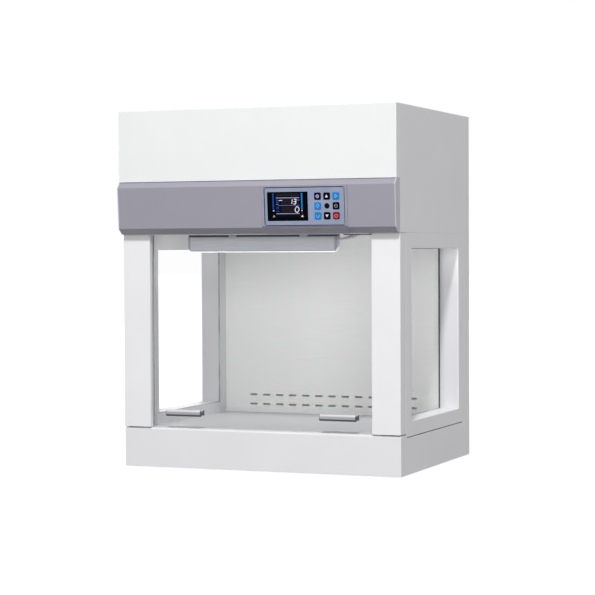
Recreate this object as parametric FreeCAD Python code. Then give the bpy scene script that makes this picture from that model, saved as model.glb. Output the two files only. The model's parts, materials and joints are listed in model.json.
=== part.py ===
import FreeCAD, Part
import math
import os

# Benchtop fume hood: a glazed sheet-metal cabinet on a low base, with a filter and fan housing on top.
# Millimetres. +X to the right, +Y to the back, +Z up. The origin is under the middle of the overall box.

# Overall size
WIDTH = 700.0
DEPTH = 563.0
HEIGHT = 850.0
SHEET = 1.5
STAINLESS = 1.2
FACE_GAP = 0.3
CORNER_STEPS = 2
ROD_SIDES = 8
DISC_SIDES = 20
WHEEL_SIDES = 36

# Plan: steps back from the plane of the upper front panel
FASCIA_PROUD = 9.0
PLATE_PROUD = 1.0
POST_SETBACK = 24.5
BASE_STEP = 2.5
POST_DEPTH = 42.5
COLUMN_DEPTH = 61.0
DUCT_DEPTH = 53.0
WALL_THICKNESS = 52.0
POST_WIDTH = 69.0
POST_LIP = 11.5
REAR_FLANGE = 20.0
APRON_BEVEL = 3.0
FLOOR_UPSTAND = 22.0
CHANNEL_X = 190.0
CHANNEL_WIDTH = 44.0
CHANNEL_SETBACK = 10.0
PAD_RADIUS = 17.0
PAD_INSET = 42.0
WORKTOP_FRONT = 15.0
WORKTOP_EDGE = 16.0

# Heights
FOOT_HEIGHT = 3.0
BASE_TOP = 96.0
POST_GAP = 2.0
PANEL_DROP = 6.0
PANEL_GAP_BELOW = 2.0
PANEL_GAP = 1.0

# Side windows
WINDOW_FRONT = 35.0
WINDOW_BACK = 28.0
WINDOW_SILL_RISE = 28.0
WINDOW_HEAD_DROP = 35.0
PANEL_FLANGE = 12.0
PANE_THICKNESS = 4.0
BEAD_WIDTH = 1.5

# Front sash, its tracks and its counterbalance
GLASS_THICKNESS = 5.0
GLASS_SETBACK = 15.5
GLASS_OVERLAP = 16.8
GLASS_LIFT = 2.3
GROOVE_CLEARANCE = 0.8
TRACK_LIP = 2.2
TRACK_WIDTH = 13.5
TRACK_DEPTH = 21.0
TRACK_EDGE_ROOM = 4.5
TRACK_TOP_GAP = 2.7
CABLE_RADIUS = 1.0
CABLE_SETBACK = 8.0
SHEAVE_RIM = 2.5
SHEAVE_WIDTH = 10.0
PIN_RADIUS = 4.0
SHEAVE_SIDE_GAP = 0.5
BRACKET_WIDTH = 18.0
BRACKET_WEB = 4.5
RUNNING_FIT = 0.05
CLAMP_WIDTH = 12.0
CLAMP_HEIGHT = 16.0
CLAMP_GAP = 0.5
WEIGHT_WIDTH = 36.0
WEIGHT_DEPTH = 20.0
WEIGHT_LENGTH = 318.0
WEIGHT_DROP = 50.0
WEIGHT_SIDE_GAP = 2.5
WEIGHT_BACK_GAP = 1.0

# Sash handles
HANDLE_LENGTH = 88.0
HANDLE_DEPTH = 24.0
HANDLE_HEIGHT = 15.0
HANDLE_INSET = 95.8
HANDLE_SHIFT = 3.5
HANDLE_RISE = 28.2
HANDLE_WALL = 2.4

# Control fascia
FASCIA_SHEET = 2.0
FACE_FOOT_PROUD = 2.0
LOWER_BEVEL = 13.5
LOWER_BEVEL_BACK = 14.0
UPPER_BEVEL = 13.5
UPPER_BEVEL_BACK = 2.0

# Control panel
KEY_PITCH = 22.4
KEY_SIZE = 16.0
KEY_TRAVEL = 0.8
KEY_PROUD = 1.2
KEY_CLEARANCE = 0.4
KEY_CORNER = 2.5
KEY_FLANGE = 1.2
KEY_FLANGE_SHEET = 1.0
KEY_STEM = 4.0
STEM_LENGTH = 1.6
BEZEL_X = 128.6
BEZEL_HEIGHT = 88.0
BEZEL_RECESS = 0.5
BEZEL_THICKNESS = 1.5
BEZEL_CORNER = 4.0
DISPLAY_WIDTH = 101.0
DISPLAY_HEIGHT = 67.0
RECEIVER_RADIUS = 6.5
PLATE_MARGIN = 6.5
FACE_MARGIN = 4.25
DISPLAY_MARGIN = 7.1
KEYS_GAP = 16.1
KEYS_MARGIN = 13.0
BOARD_THICKNESS = 1.6
SWITCH_SIZE = 6.0
SWITCH_HEIGHT = 3.5
DISPLAY_SHEET = 2.0
DISPLAY_RECESS = 0.2
DISPLAY_CORNER = 1.5
BEZEL_FLANGE = 2.5
SPACER_RADIUS = 2.4
OPENING_GAP = 0.6

# Lamp under the ceiling
LAMP_X = -6.0
LAMP_LENGTH = 379.0
LAMP_DEPTH = 22.0
LAMP_HEIGHT = 36.0
LAMP_CLEARANCE = 13.0
LAMP_DROP = 5.5
LAMP_WALL = 1.6
LAMP_CAP = 6.0
TUBE_RADIUS = 8.0
LEAD_RADIUS = 5.0
LEAD_DROP = 6.0
LEAD_INSET = 2.0
LEAD_LEVEL = 22.0
LEAD_RISE_LENGTH = 36.0
LEAD_END = 16.0
LEAD_LEAN = 12.0
LEAD_SLOT = 34.0
LEAD_SLOT_SHIFT = 6.0
CLIP_WIDTH = 18.0
CLIP_LEFT_X = -80.0
CLIP_RIGHT_X = 101.0
CLIP_GRIP = 4.0
CAP_SLOPE = 12.0
CAP_PLUG = 4.0

# Inner back panel
SLOT_COUNT = 13
SLOT_PITCH = 36.4
SLOT_LENGTH = 21.0
SLOT_HEIGHT = 5.0
SLOT_END_FLAT = 0.6
SLOT_ROWS = (21.4, 45.6)
BACK_PANEL_FLANGE = 18.0

# Filter, fan and exhaust
SHELF_RISE = 31.5
FILTER_SIDE_ROOM = 57.0
FILTER_FRONT_ROOM = 26.5
FILTER_BACK_ROOM = 26.0
FILTER_HEIGHT = 60.0
FILTER_GAP = 40.0
FILTER_FRAME = 18.0
PLEAT_PITCH = 17.0
PLEAT_RISE = 5.0
FAN_HEADROOM = 18.0
WHEEL_RADIUS = 110.0
WHEEL_HEIGHT = 66.0
WHEEL_GAP = 4.0
THROAT_RADIUS = 72.0
BELL_RADIUS = 12.0
BELL_NECK = 6.0
BLADE_COUNT = 7
BLADE_SHEET = 2.0
BLADE_INNER_RADIUS = 50.0
BLADE_SWEEP = 52.0
BLADE_STEPS = 4
HUB_RADIUS = 22.0
HUB_HEIGHT = 30.0
SHAFT_RADIUS = 8.0
MOTOR_RADIUS = 48.0
MOTOR_HEIGHT = 44.0
MOTOR_GAP = 4.0
BRIDGE_SHEET = 3.0
BRIDGE_WIDTH = 90.0
BRIDGE_SPAN = 300.0
BRIDGE_FOOT = 24.0
PLENUM_FLANGE = 14.0
GRILLE_WIDTH = 360.0
GRILLE_LENGTH = 240.0
GRILLE_FLANGE = 15.0
GRILLE_ROWS = 10
GRILLE_COLUMNS = 3
GRILLE_END = 15.0
GRILLE_SLOT_WIDTH = 9.0
GRILLE_BAR = 12.0
CEILING_ROWS = 5
CEILING_ROW_PITCH = 60.0
CEILING_COLUMNS = 6
CEILING_COLUMN_PITCH = 88.0
CEILING_SLOT_LENGTH = 64.0
CEILING_SLOT_WIDTH = 10.0
CEILING_GAP = 2.0

# Fixings and power inlet
SCREW_HEAD_RADIUS = 4.0
SCREW_HEAD_HEIGHT = 2.0
SCREW_EDGE = 10.0
INLET_INSET = 90.0
INLET_DROP = 50.0
INLET_WIDTH = 48.0
INLET_HEIGHT = 28.0
INLET_DEPTH = 24.0
INLET_EAR = 9.0
INLET_RIM = 4.0
INLET_WALL = 2.0
SCREW_COUNT = 5

# Upright planes worked out from the sizes above
HALF = WIDTH / 2
FRONT_Y = -DEPTH / 2 + FASCIA_PROUD + PLATE_PROUD
BACK_Y = DEPTH / 2 - SCREW_HEAD_HEIGHT
POST_Y = FRONT_Y + POST_SETBACK
BASE_Y = POST_Y + BASE_STEP
PANEL_FRONT_Y = POST_Y + POST_DEPTH
PANEL_BACK_Y = BACK_Y - COLUMN_DEPTH
WINDOW_FRONT_Y = PANEL_FRONT_Y + WINDOW_FRONT
WINDOW_BACK_Y = PANEL_BACK_Y - WINDOW_BACK
DUCT_Y = BACK_Y - DUCT_DEPTH
INNER_X = HALF - WALL_THICKNESS
POST_X = HALF - POST_WIDTH
INLET_X = HALF - INLET_INSET
GLASS_Y = POST_Y + GLASS_SETBACK
GLASS_BACK_Y = GLASS_Y + GLASS_THICKNESS
TRACK_Y = GLASS_Y - GROOVE_CLEARANCE - TRACK_LIP
TRACK_BACK_Y = TRACK_Y + TRACK_DEPTH
TRACK_X = INNER_X - TRACK_WIDTH
GLASS_EDGE_X = TRACK_X + TRACK_WIDTH - TRACK_LIP - TRACK_EDGE_ROOM
HANDLE_X = GLASS_EDGE_X - HANDLE_INSET
CABLE_Y = GLASS_BACK_Y + CABLE_SETBACK
CABLE_INNER_X = TRACK_X - CLAMP_GAP - CLAMP_WIDTH / 2
CABLE_OUTER_X = INNER_X + SHEET + WEIGHT_SIDE_GAP + WEIGHT_WIDTH / 2
SHEAVE_X = (CABLE_INNER_X + CABLE_OUTER_X) / 2
SHEAVE_PITCH = (CABLE_OUTER_X - CABLE_INNER_X) / 2
SHEAVE_RADIUS = SHEAVE_PITCH + SHEAVE_RIM
PLENUM_Y = CABLE_Y + WEIGHT_DEPTH / 2 + WEIGHT_BACK_GAP
CEILING_Y = TRACK_BACK_Y + CEILING_GAP
LAMP_Y = GLASS_BACK_Y + LAMP_CLEARANCE
LEAD_Y = LAMP_Y + LAMP_DEPTH - LEAD_INSET - LEAD_RADIUS
SLOT_CORNER = (SLOT_HEIGHT - SLOT_END_FLAT) / 2
FILTER_X = HALF - 2 * SHEET - FILTER_SIDE_ROOM
FILTER_FRONT_Y = PLENUM_Y + SHEET + FILTER_FRONT_ROOM
FILTER_BACK_Y = BACK_Y - 2 * SHEET - FILTER_BACK_ROOM
FAN_Y = (FILTER_FRONT_Y + FILTER_BACK_Y) / 2

# Heights worked out from the top down: fan, filter, chamber, window, sash
SKIN_TOP = HEIGHT - SHEET
BRIDGE_TOP = SKIN_TOP - SHEET - FAN_HEADROOM
WHEEL_TOP = BRIDGE_TOP - BRIDGE_SHEET - MOTOR_HEIGHT - MOTOR_GAP
WHEEL_BOTTOM = WHEEL_TOP - WHEEL_HEIGHT
DECK_HEIGHT = WHEEL_BOTTOM - WHEEL_GAP - BELL_NECK - BELL_RADIUS
SHELF_HEIGHT = DECK_HEIGHT - FILTER_GAP - FILTER_HEIGHT - SHEET
INLET_Z = DECK_HEIGHT - INLET_DROP
CHAMBER_HEAD = SHELF_HEIGHT - SHELF_RISE
LAMP_TOP = CHAMBER_HEAD - SHEET - LAMP_DROP
WORK_TOP = BASE_TOP + STAINLESS
POST_BOTTOM = BASE_TOP + POST_GAP
PANEL_BOTTOM = BASE_TOP - PANEL_DROP
WINDOW_SILL = BASE_TOP + WINDOW_SILL_RISE
WINDOW_HEAD = CHAMBER_HEAD - WINDOW_HEAD_DROP
GLASS_BOTTOM = BASE_TOP + GLASS_LIFT
GLASS_TOP = CHAMBER_HEAD + GLASS_OVERLAP
HANDLE_Z = GLASS_BOTTOM + HANDLE_RISE
SHEAVE_HEIGHT = SKIN_TOP - BRACKET_WEB - SHEAVE_SIDE_GAP - SHEAVE_RADIUS
TRACK_TOP = SHEAVE_HEIGHT - SHEAVE_RADIUS - TRACK_TOP_GAP
WEIGHT_TOP = SHEAVE_HEIGHT - WEIGHT_DROP

# Control panel: places along the face and behind it
BEZEL_WIDTH = DISPLAY_MARGIN + DISPLAY_WIDTH + KEYS_GAP + 2 * KEY_PITCH + KEY_SIZE + KEYS_MARGIN
DISPLAY_X = BEZEL_X - BEZEL_WIDTH / 2 + DISPLAY_MARGIN + DISPLAY_WIDTH / 2
KEY_COLUMN_X = DISPLAY_X + DISPLAY_WIDTH / 2 + KEYS_GAP + KEY_SIZE / 2 + KEY_PITCH
PLATE_REACH = BEZEL_WIDTH / 2 + PLATE_MARGIN
BEZEL_BACK = FASCIA_SHEET + BEZEL_THICKNESS
STEM_FRONT = BEZEL_BACK + FACE_GAP + KEY_FLANGE_SHEET
STEM_END = STEM_FRONT + STEM_LENGTH
BOARD_DEPTH = STEM_END + FACE_GAP + KEY_TRAVEL + SWITCH_HEIGHT

# Fascia section as (step back from the upper front panel, height), from its bottom return to its top return
FASCIA_BACK = POST_SETBACK - FACE_GAP
FASCIA_BOTTOM = CHAMBER_HEAD + 0.5
FACE_BOTTOM = (-FACE_FOOT_PROUD, FASCIA_BOTTOM + LOWER_BEVEL)
FACE_TOP = (-FASCIA_PROUD, FACE_BOTTOM[1] + BEZEL_HEIGHT + 2 * FACE_MARGIN)
FASCIA_TOP = FACE_TOP[1] + UPPER_BEVEL
FASCIA_SECTION = (
    (FASCIA_BACK, FASCIA_BOTTOM),
    (LOWER_BEVEL_BACK, FASCIA_BOTTOM),
    FACE_BOTTOM,
    FACE_TOP,
    (UPPER_BEVEL_BACK, FASCIA_TOP),
    (FASCIA_BACK, FASCIA_TOP),
)
FACE_TILT = math.degrees(math.atan2(FACE_BOTTOM[0] - FACE_TOP[0], FACE_TOP[1] - FACE_BOTTOM[1]))
FACE_MIDDLE_Y = FRONT_Y + (FACE_BOTTOM[0] + FACE_TOP[0]) / 2
FACE_MIDDLE_Z = (FACE_BOTTOM[1] + FACE_TOP[1]) / 2

# Exhaust grille: slots that fill its opening
GRILLE_PITCH = (GRILLE_LENGTH - 2 * GRILLE_END) / GRILLE_ROWS
GRILLE_SLOT_LENGTH = (GRILLE_WIDTH - (GRILLE_COLUMNS + 1) * GRILLE_BAR) / GRILLE_COLUMNS


def vec(x, y, z):
    return FreeCAD.Vector(x, y, z)


def box(x0, x1, y0, y1, z0, z1):
    return Part.makeBox(x1 - x0, y1 - y0, z1 - z0, vec(x0, y0, z0))


def prism(points, direction):
    """Extrude the closed outline through the points."""
    wire = Part.makePolygon([*points, points[0]])
    return Part.Face(wire).extrude(direction)


def prism_x(outline, x0, x1):
    """Extrude an outline of (y, z) points along X."""
    return prism([vec(x0, y, z) for y, z in outline], vec(x1 - x0, 0, 0))


def cylinder_z(radius, x, y, z0, z1):
    return Part.makeCylinder(radius, z1 - z0, vec(x, y, z0), vec(0, 0, 1))


def cylinder_y(radius, x, z, y0, y1):
    return Part.makeCylinder(radius, y1 - y0, vec(x, y0, z), vec(0, 1, 0))


def mirror(shape):
    """The other hand of a piece, across the middle plane."""
    return shape.mirror(vec(0, 0, 0), vec(1, 0, 0))


def pair(shape):
    return Part.makeCompound([mirror(shape), shape])


def ring(outer, inner):
    return outer.cut(inner)


def offset_line(points, distance):
    """Move an open line of 2D points sideways, to its left, with mitred corners."""
    normals = []
    for (a, b), (c, d) in zip(points, points[1:]):
        length = math.hypot(c - a, d - b)
        normals.append((-(d - b) / length, (c - a) / length))
    moved = []
    for index, (a, b) in enumerate(points):
        before = normals[max(index - 1, 0)]
        after = normals[min(index, len(normals) - 1)]
        share = distance / (1 + before[0] * after[0] + before[1] * after[1])
        moved.append((a + share * (before[0] + after[0]), b + share * (before[1] + after[1])))
    return moved


def folded(points, thickness, x0, x1):
    """A folded sheet: an open (y, z) line thickened to its left and extruded along X."""
    inner = offset_line(points, thickness)
    return prism_x([*points, *reversed(inner)], x0, x1)


def from_front(points):
    """Turn (step back, height) points into (y, z) points."""
    return [(FRONT_Y + step, height) for step, height in points]


def rounded_plate(width, height, corner, front, back, x=0.0, z=0.0):
    """An upright plate between two Y planes; each round corner is a few straight steps."""
    points = []
    for quarter, (x_side, z_side) in enumerate(((1, 1), (-1, 1), (-1, -1), (1, -1))):
        x_corner = x + x_side * (width / 2 - corner)
        z_corner = z + z_side * (height / 2 - corner)
        for step in range(CORNER_STEPS + 1):
            angle = math.radians(90 * (quarter + step / CORNER_STEPS))
            points.append(vec(x_corner + corner * math.cos(angle), front, z_corner + corner * math.sin(angle)))
    return prism(points, vec(0, back - front, 0))


def regular_points(radius, sides, centre, first, second):
    """Corners of a regular polygon about a centre, in the plane of two unit directions."""
    points = []
    for index in range(sides):
        angle = 2 * math.pi * index / sides
        points.append(centre + first * (radius * math.cos(angle)) + second * (radius * math.sin(angle)))
    return points


def swept(path, start, radius, sides, first, second):
    """A rod with a many-sided section along a path."""
    points = regular_points(radius, sides, start, first, second)
    return path.makePipeShell([Part.makePolygon([*points, points[0]])], True, False)


def spread(count, pitch):
    """Places of count things at an even pitch, about 0."""
    return [(index - (count - 1) / 2) * pitch for index in range(count)]


def slot_block(length, width, x, y, z0, z1):
    """A square-ended slot cutter along X that passes through Z."""
    return box(x - length / 2, x + length / 2, y - width / 2, y + width / 2, z0, z1)


# Outer cabinet

def side_skin():
    """Right side: one folded sheet with the upper side, front post, rear column and base side."""
    x0 = HALF - SHEET
    skin = box(x0, HALF, POST_Y, BACK_Y - SHEET, FOOT_HEIGHT, SKIN_TOP)
    window_panel_hole = box(x0, HALF, PANEL_FRONT_Y, PANEL_BACK_Y,
                            PANEL_BOTTOM - PANEL_GAP_BELOW, CHAMBER_HEAD + PANEL_GAP)
    shoulder = box(x0, HALF, POST_Y, PANEL_FRONT_Y, BASE_TOP - SHEET, POST_BOTTOM)
    below_post = box(x0, HALF, POST_Y, BASE_Y + SHEET, FOOT_HEIGHT, POST_BOTTOM)
    skin = skin.cut([window_panel_hole, shoulder, below_post, base_apron()])
    post_face = box(POST_X, HALF, POST_Y, POST_Y + SHEET, POST_BOTTOM, SKIN_TOP)
    post_lip = box(POST_X, POST_X + SHEET, POST_Y, POST_Y + POST_LIP, POST_BOTTOM, SKIN_TOP)
    rear_flange = box(HALF - REAR_FLANGE, HALF, BACK_Y - 2 * SHEET, BACK_Y - SHEET, FOOT_HEIGHT, SKIN_TOP)
    return skin.fuse([post_face, post_lip, rear_flange]).removeSplitter()


def back_skin():
    skin = box(-HALF, HALF, BACK_Y - SHEET, BACK_Y, FOOT_HEIGHT, SKIN_TOP)
    return skin.cut(inlet_block(0, BACK_Y - SHEET, BACK_Y))


def base_apron():
    """Front of the base, with a bevelled top edge and a flange under the posts."""
    line = [(PANEL_FRONT_Y - FACE_GAP, BASE_TOP), (BASE_Y + APRON_BEVEL, BASE_TOP),
            (BASE_Y, BASE_TOP - APRON_BEVEL), (BASE_Y, FOOT_HEIGHT)]
    return folded(line, SHEET, -HALF, HALF)


def base_floor():
    """Floor of the base with turned-up edges and two welded channels that carry the worktop."""
    x1 = HALF - SHEET
    y0, y1 = BASE_Y + SHEET, BACK_Y - 2 * SHEET
    z0 = FOOT_HEIGHT
    tray = box(-x1, x1, y0, y1, z0, z0 + FLOOR_UPSTAND)
    tray = tray.cut(box(-x1 + SHEET, x1 - SHEET, y0 + SHEET, y1 - SHEET, z0 + SHEET, z0 + FLOOR_UPSTAND))
    inner = CHANNEL_X - CHANNEL_WIDTH / 2
    outer = CHANNEL_X + CHANNEL_WIDTH / 2
    front, back = PANEL_FRONT_Y + CHANNEL_SETBACK, DUCT_Y - FACE_GAP
    channel = box(inner, outer, front, back, z0 + SHEET, BASE_TOP)
    hollow = box(inner + SHEET, outer - SHEET, front, back, z0 + SHEET, BASE_TOP - SHEET)
    channel = channel.cut(hollow)
    return tray.fuse([channel, mirror(channel)]).removeSplitter()


def foot_pads():
    pads = []
    for y in (BASE_Y + PAD_INSET, BACK_Y - PAD_INSET):
        centre = vec(HALF - PAD_INSET, y, 0)
        points = regular_points(PAD_RADIUS, DISC_SIDES, centre, vec(1, 0, 0), vec(0, 1, 0))
        pads.append(pair(prism(points, vec(0, 0, FOOT_HEIGHT))))
    return Part.makeCompound(pads)


def top_cover():
    cover = box(-HALF, HALF, POST_Y, BACK_Y, SKIN_TOP, HEIGHT)
    opening = box(-GRILLE_WIDTH / 2, GRILLE_WIDTH / 2, FAN_Y - GRILLE_LENGTH / 2,
                  FAN_Y + GRILLE_LENGTH / 2, SKIN_TOP, HEIGHT)
    return cover.cut(opening)


def exhaust_grille():
    """Slotted plate fixed under the opening in the top cover."""
    z1 = SKIN_TOP
    z0 = z1 - SHEET
    reach_x = GRILLE_WIDTH / 2 + GRILLE_FLANGE
    reach_y = GRILLE_LENGTH / 2 + GRILLE_FLANGE
    plate = box(-reach_x, reach_x, FAN_Y - reach_y, FAN_Y + reach_y, z0, z1)
    cutters = []
    for x in spread(GRILLE_COLUMNS, GRILLE_SLOT_LENGTH + GRILLE_BAR):
        for y in spread(GRILLE_ROWS, GRILLE_PITCH):
            cutters.append(slot_block(GRILLE_SLOT_LENGTH, GRILLE_SLOT_WIDTH, x, FAN_Y + y, z0, z1))
    return plate.cut(cutters)


def upper_front_panel():
    """White tray over the front of the housing, with returns all round."""
    y0, y1 = FRONT_Y, FRONT_Y + POST_SETBACK - FACE_GAP
    tray = box(-HALF, HALF, y0, y1, FASCIA_TOP + FACE_GAP, HEIGHT)
    hollow = box(-HALF + SHEET, HALF - SHEET, y0 + SHEET, y1, FASCIA_TOP + FACE_GAP + SHEET, HEIGHT - SHEET)
    tray = tray.cut(hollow)
    edges = []
    for edge in tray.Edges:
        bounds = edge.BoundBox
        on_front = bounds.YMax < y0 + 1e-6
        if on_front and (bounds.XLength > WIDTH - 1 and bounds.ZMin > HEIGHT - 1e-6 or bounds.ZLength > 100):
            edges.append(edge)
    return tray.makeFillet(1.2, edges)


# Control fascia

def in_face(shape):
    """Place a piece drawn upright, with its front at Y 0 and its middle at Z 0, in the leaning face."""
    shape = shape.copy()
    shape.rotate(vec(0, 0, 0), vec(1, 0, 0), FACE_TILT)
    shape.translate(vec(0, FACE_MIDDLE_Y, FACE_MIDDLE_Z))
    return shape


def bezel_opening(margin, front, back):
    return in_face(rounded_plate(BEZEL_WIDTH + 2 * margin, BEZEL_HEIGHT + 2 * margin, BEZEL_CORNER + margin,
                                 front, back, BEZEL_X))


def fascia():
    """Grey front band: one bent sheet with a leaning face and a bottom lip between the posts."""
    reach = HALF - FASCIA_SHEET
    band = folded(list(reversed(from_front(FASCIA_SECTION))), FASCIA_SHEET, -reach, reach)
    lip = box(-POST_X + FACE_GAP, POST_X - FACE_GAP, FRONT_Y + FASCIA_BACK - 1, FRONT_Y + FASCIA_BACK + 9,
              FASCIA_SECTION[0][1], FASCIA_SECTION[0][1] + FASCIA_SHEET)
    opening = bezel_opening(OPENING_GAP, -5, 8)
    return band.fuse(lip).removeSplitter().cut(opening)


def fascia_cap():
    """End cap of the band: a plate of the band's outline with a plug that seats inside it."""
    outline = from_front(FASCIA_SECTION)
    plate = prism_x(outline, HALF - FASCIA_SHEET, HALF)
    inner = offset_line(outline, -(FASCIA_SHEET + FACE_GAP))
    y_back = FRONT_Y + FASCIA_BACK
    inner[0] = (y_back, inner[0][1])
    inner[-1] = (y_back, inner[-1][1])
    plug = prism_x(inner, HALF - FASCIA_SHEET - 6, HALF - FASCIA_SHEET)
    hollow = prism_x(offset_line(inner, -FASCIA_SHEET), HALF - FASCIA_SHEET - 6, HALF - FASCIA_SHEET)
    return plate.fuse(plug.cut(hollow)).removeSplitter()


def control_plate():
    """Raised surround that follows the band's face and bottom bevel round the control panel."""
    section = from_front(FASCIA_SECTION[1:4])
    outer = offset_line(section, PLATE_PROUD)
    outline = [*outer, *reversed(section)]
    plate = prism_x(outline, BEZEL_X - PLATE_REACH, BEZEL_X + PLATE_REACH)
    return plate.cut(bezel_opening(OPENING_GAP, -5, 8))


def key_centres():
    """Middle of each key as (x, z) in the face, and the receiver's place in the middle of the block."""
    places = []
    for row in (1, 0, -1):
        for column in (-1, 0, 1):
            places.append((KEY_COLUMN_X + column * KEY_PITCH, row * KEY_PITCH))
    return places


def control_bezel():
    """Frame of the control panel: it stands in the band's opening, with a flange behind the sheet."""
    front, back = BEZEL_RECESS, BEZEL_BACK
    frame = rounded_plate(BEZEL_WIDTH, BEZEL_HEIGHT, BEZEL_CORNER, front, back, BEZEL_X)
    flange = rounded_plate(BEZEL_WIDTH + 2 * BEZEL_FLANGE, BEZEL_HEIGHT + 2 * BEZEL_FLANGE, BEZEL_CORNER,
                           FASCIA_SHEET, back, BEZEL_X)
    frame = frame.fuse(flange)
    cutters = [rounded_plate(DISPLAY_WIDTH, DISPLAY_HEIGHT, DISPLAY_CORNER, front, back, DISPLAY_X)]
    hole = KEY_SIZE + 2 * KEY_CLEARANCE
    for x, z in key_centres():
        if (x, z) == (KEY_COLUMN_X, 0):
            cutters.append(receiver_disc(front, back))
        else:
            cutters.append(rounded_plate(hole, hole, KEY_CORNER + KEY_CLEARANCE, front, back, x, z))
    return in_face(frame.cut(cutters).removeSplitter())


def display_window():
    front = BEZEL_RECESS + DISPLAY_RECESS
    return in_face(rounded_plate(DISPLAY_WIDTH, DISPLAY_HEIGHT, DISPLAY_CORNER, front, front + DISPLAY_SHEET,
                                 DISPLAY_X))


def receiver_disc(front, back):
    centre = vec(KEY_COLUMN_X, front, 0)
    points = regular_points(RECEIVER_RADIUS, DISC_SIDES, centre, vec(1, 0, 0), vec(0, 0, 1))
    return prism(points, vec(0, back - front, 0))


def receiver_window():
    front = BEZEL_RECESS - FACE_GAP
    return in_face(receiver_disc(front, front + DISPLAY_SHEET))


def key(x, z):
    """A key cap with a flange that the bezel holds and a stem towards its switch."""
    flange_front = BEZEL_BACK + FACE_GAP
    cap = rounded_plate(KEY_SIZE, KEY_SIZE, KEY_CORNER, BEZEL_RECESS - KEY_PROUD, flange_front, x, z)
    reach = KEY_SIZE / 2 + KEY_FLANGE
    flange = box(x - reach, x + reach, flange_front, STEM_FRONT, z - reach, z + reach)
    half = KEY_STEM / 2
    stem = box(x - half, x + half, STEM_FRONT, STEM_END, z - half, z + half)
    return in_face(cap.fuse([flange, stem]).removeSplitter())


def control_board():
    """Circuit board behind the bezel, with its switches, its display and four spacers."""
    width, height = BEZEL_WIDTH - 8, BEZEL_HEIGHT - 10
    board = box(BEZEL_X - width / 2, BEZEL_X + width / 2, BOARD_DEPTH, BOARD_DEPTH + BOARD_THICKNESS,
                -height / 2, height / 2)
    pieces = []
    for x, z in key_centres():
        if (x, z) != (KEY_COLUMN_X, 0):
            pieces.append(box(x - SWITCH_SIZE / 2, x + SWITCH_SIZE / 2, BOARD_DEPTH - SWITCH_HEIGHT,
                              BOARD_DEPTH, z - SWITCH_SIZE / 2, z + SWITCH_SIZE / 2))
    display_back = BEZEL_RECESS + DISPLAY_RECESS + DISPLAY_SHEET
    pieces.append(box(DISPLAY_X - DISPLAY_WIDTH / 2 + 2, DISPLAY_X + DISPLAY_WIDTH / 2 - 2,
                      display_back, BOARD_DEPTH, -DISPLAY_HEIGHT / 2 + 2, DISPLAY_HEIGHT / 2 - 2))
    for x_side in (-1, 1):
        for z_side in (-1, 1):
            x = BEZEL_X + x_side * (width / 2 - SPACER_RADIUS)
            z = z_side * (height / 2 - SPACER_RADIUS)
            pieces.append(box(x - SPACER_RADIUS, x + SPACER_RADIUS, BEZEL_BACK, BOARD_DEPTH,
                              z - SPACER_RADIUS, z + SPACER_RADIUS))
    return in_face(board.fuse(pieces).removeSplitter())


# Side windows

def window_frame():
    """Right window panel: outer sheet, deep window reveal and inner liner, as one folded piece."""
    y0, y1 = WINDOW_FRONT_Y, WINDOW_BACK_Y
    outer = box(HALF - SHEET, HALF, PANEL_FRONT_Y + PANEL_GAP, PANEL_BACK_Y - PANEL_GAP,
                PANEL_BOTTOM, CHAMBER_HEAD)
    rim = box(HALF - PANEL_FLANGE, HALF, PANEL_FRONT_Y + PANEL_GAP, PANEL_BACK_Y - PANEL_GAP,
              PANEL_BOTTOM, CHAMBER_HEAD)
    rim = ring(rim, box(HALF - PANEL_FLANGE, HALF, PANEL_FRONT_Y + PANEL_GAP + SHEET,
                        PANEL_BACK_Y - PANEL_GAP - SHEET, PANEL_BOTTOM + SHEET, CHAMBER_HEAD - SHEET))
    liner = box(INNER_X, INNER_X + SHEET, POST_Y + SHEET, DUCT_Y + STAINLESS, BASE_TOP, CHAMBER_HEAD)
    reveal = box(INNER_X, HALF, y0 - SHEET, y1 + SHEET, WINDOW_SILL - SHEET, WINDOW_HEAD + SHEET)
    opening = box(INNER_X - 1, HALF + 1, y0, y1, WINDOW_SILL, WINDOW_HEAD)
    return outer.fuse([rim, liner, reveal]).cut(opening).removeSplitter()


def pane(inset):
    """Sheet in the window opening, flush with the inner liner and drawn in by an inset all round."""
    return box(INNER_X, INNER_X + PANE_THICKNESS, WINDOW_FRONT_Y + inset, WINDOW_BACK_Y - inset,
               WINDOW_SILL + inset, WINDOW_HEAD - inset)


def glazing_seal():
    """Rubber bead that bonds the pane's edge into the reveal."""
    return ring(pane(0), pane(BEAD_WIDTH))


def side_glass():
    return pane(BEAD_WIDTH)


# Work chamber

def worktop():
    """Stainless tray on the base, with turned-down front and side edges."""
    x1 = INNER_X - FACE_GAP
    y0 = PANEL_FRONT_Y - WORKTOP_FRONT
    sheet = box(-x1, x1, y0, DUCT_Y + STAINLESS, BASE_TOP, WORK_TOP)
    notch = box(TRACK_X - FACE_GAP, x1, y0, TRACK_BACK_Y + FACE_GAP, BASE_TOP, WORK_TOP)
    sheet = sheet.cut([notch, mirror(notch)])
    z0 = BASE_TOP - WORKTOP_EDGE
    side = box(x1 - STAINLESS, x1, PANEL_FRONT_Y, DUCT_Y + STAINLESS, z0, BASE_TOP)
    back = box(-x1, x1, DUCT_Y, DUCT_Y + STAINLESS, z0, BASE_TOP)
    return sheet.fuse([side, mirror(side), back]).removeSplitter()


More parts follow.
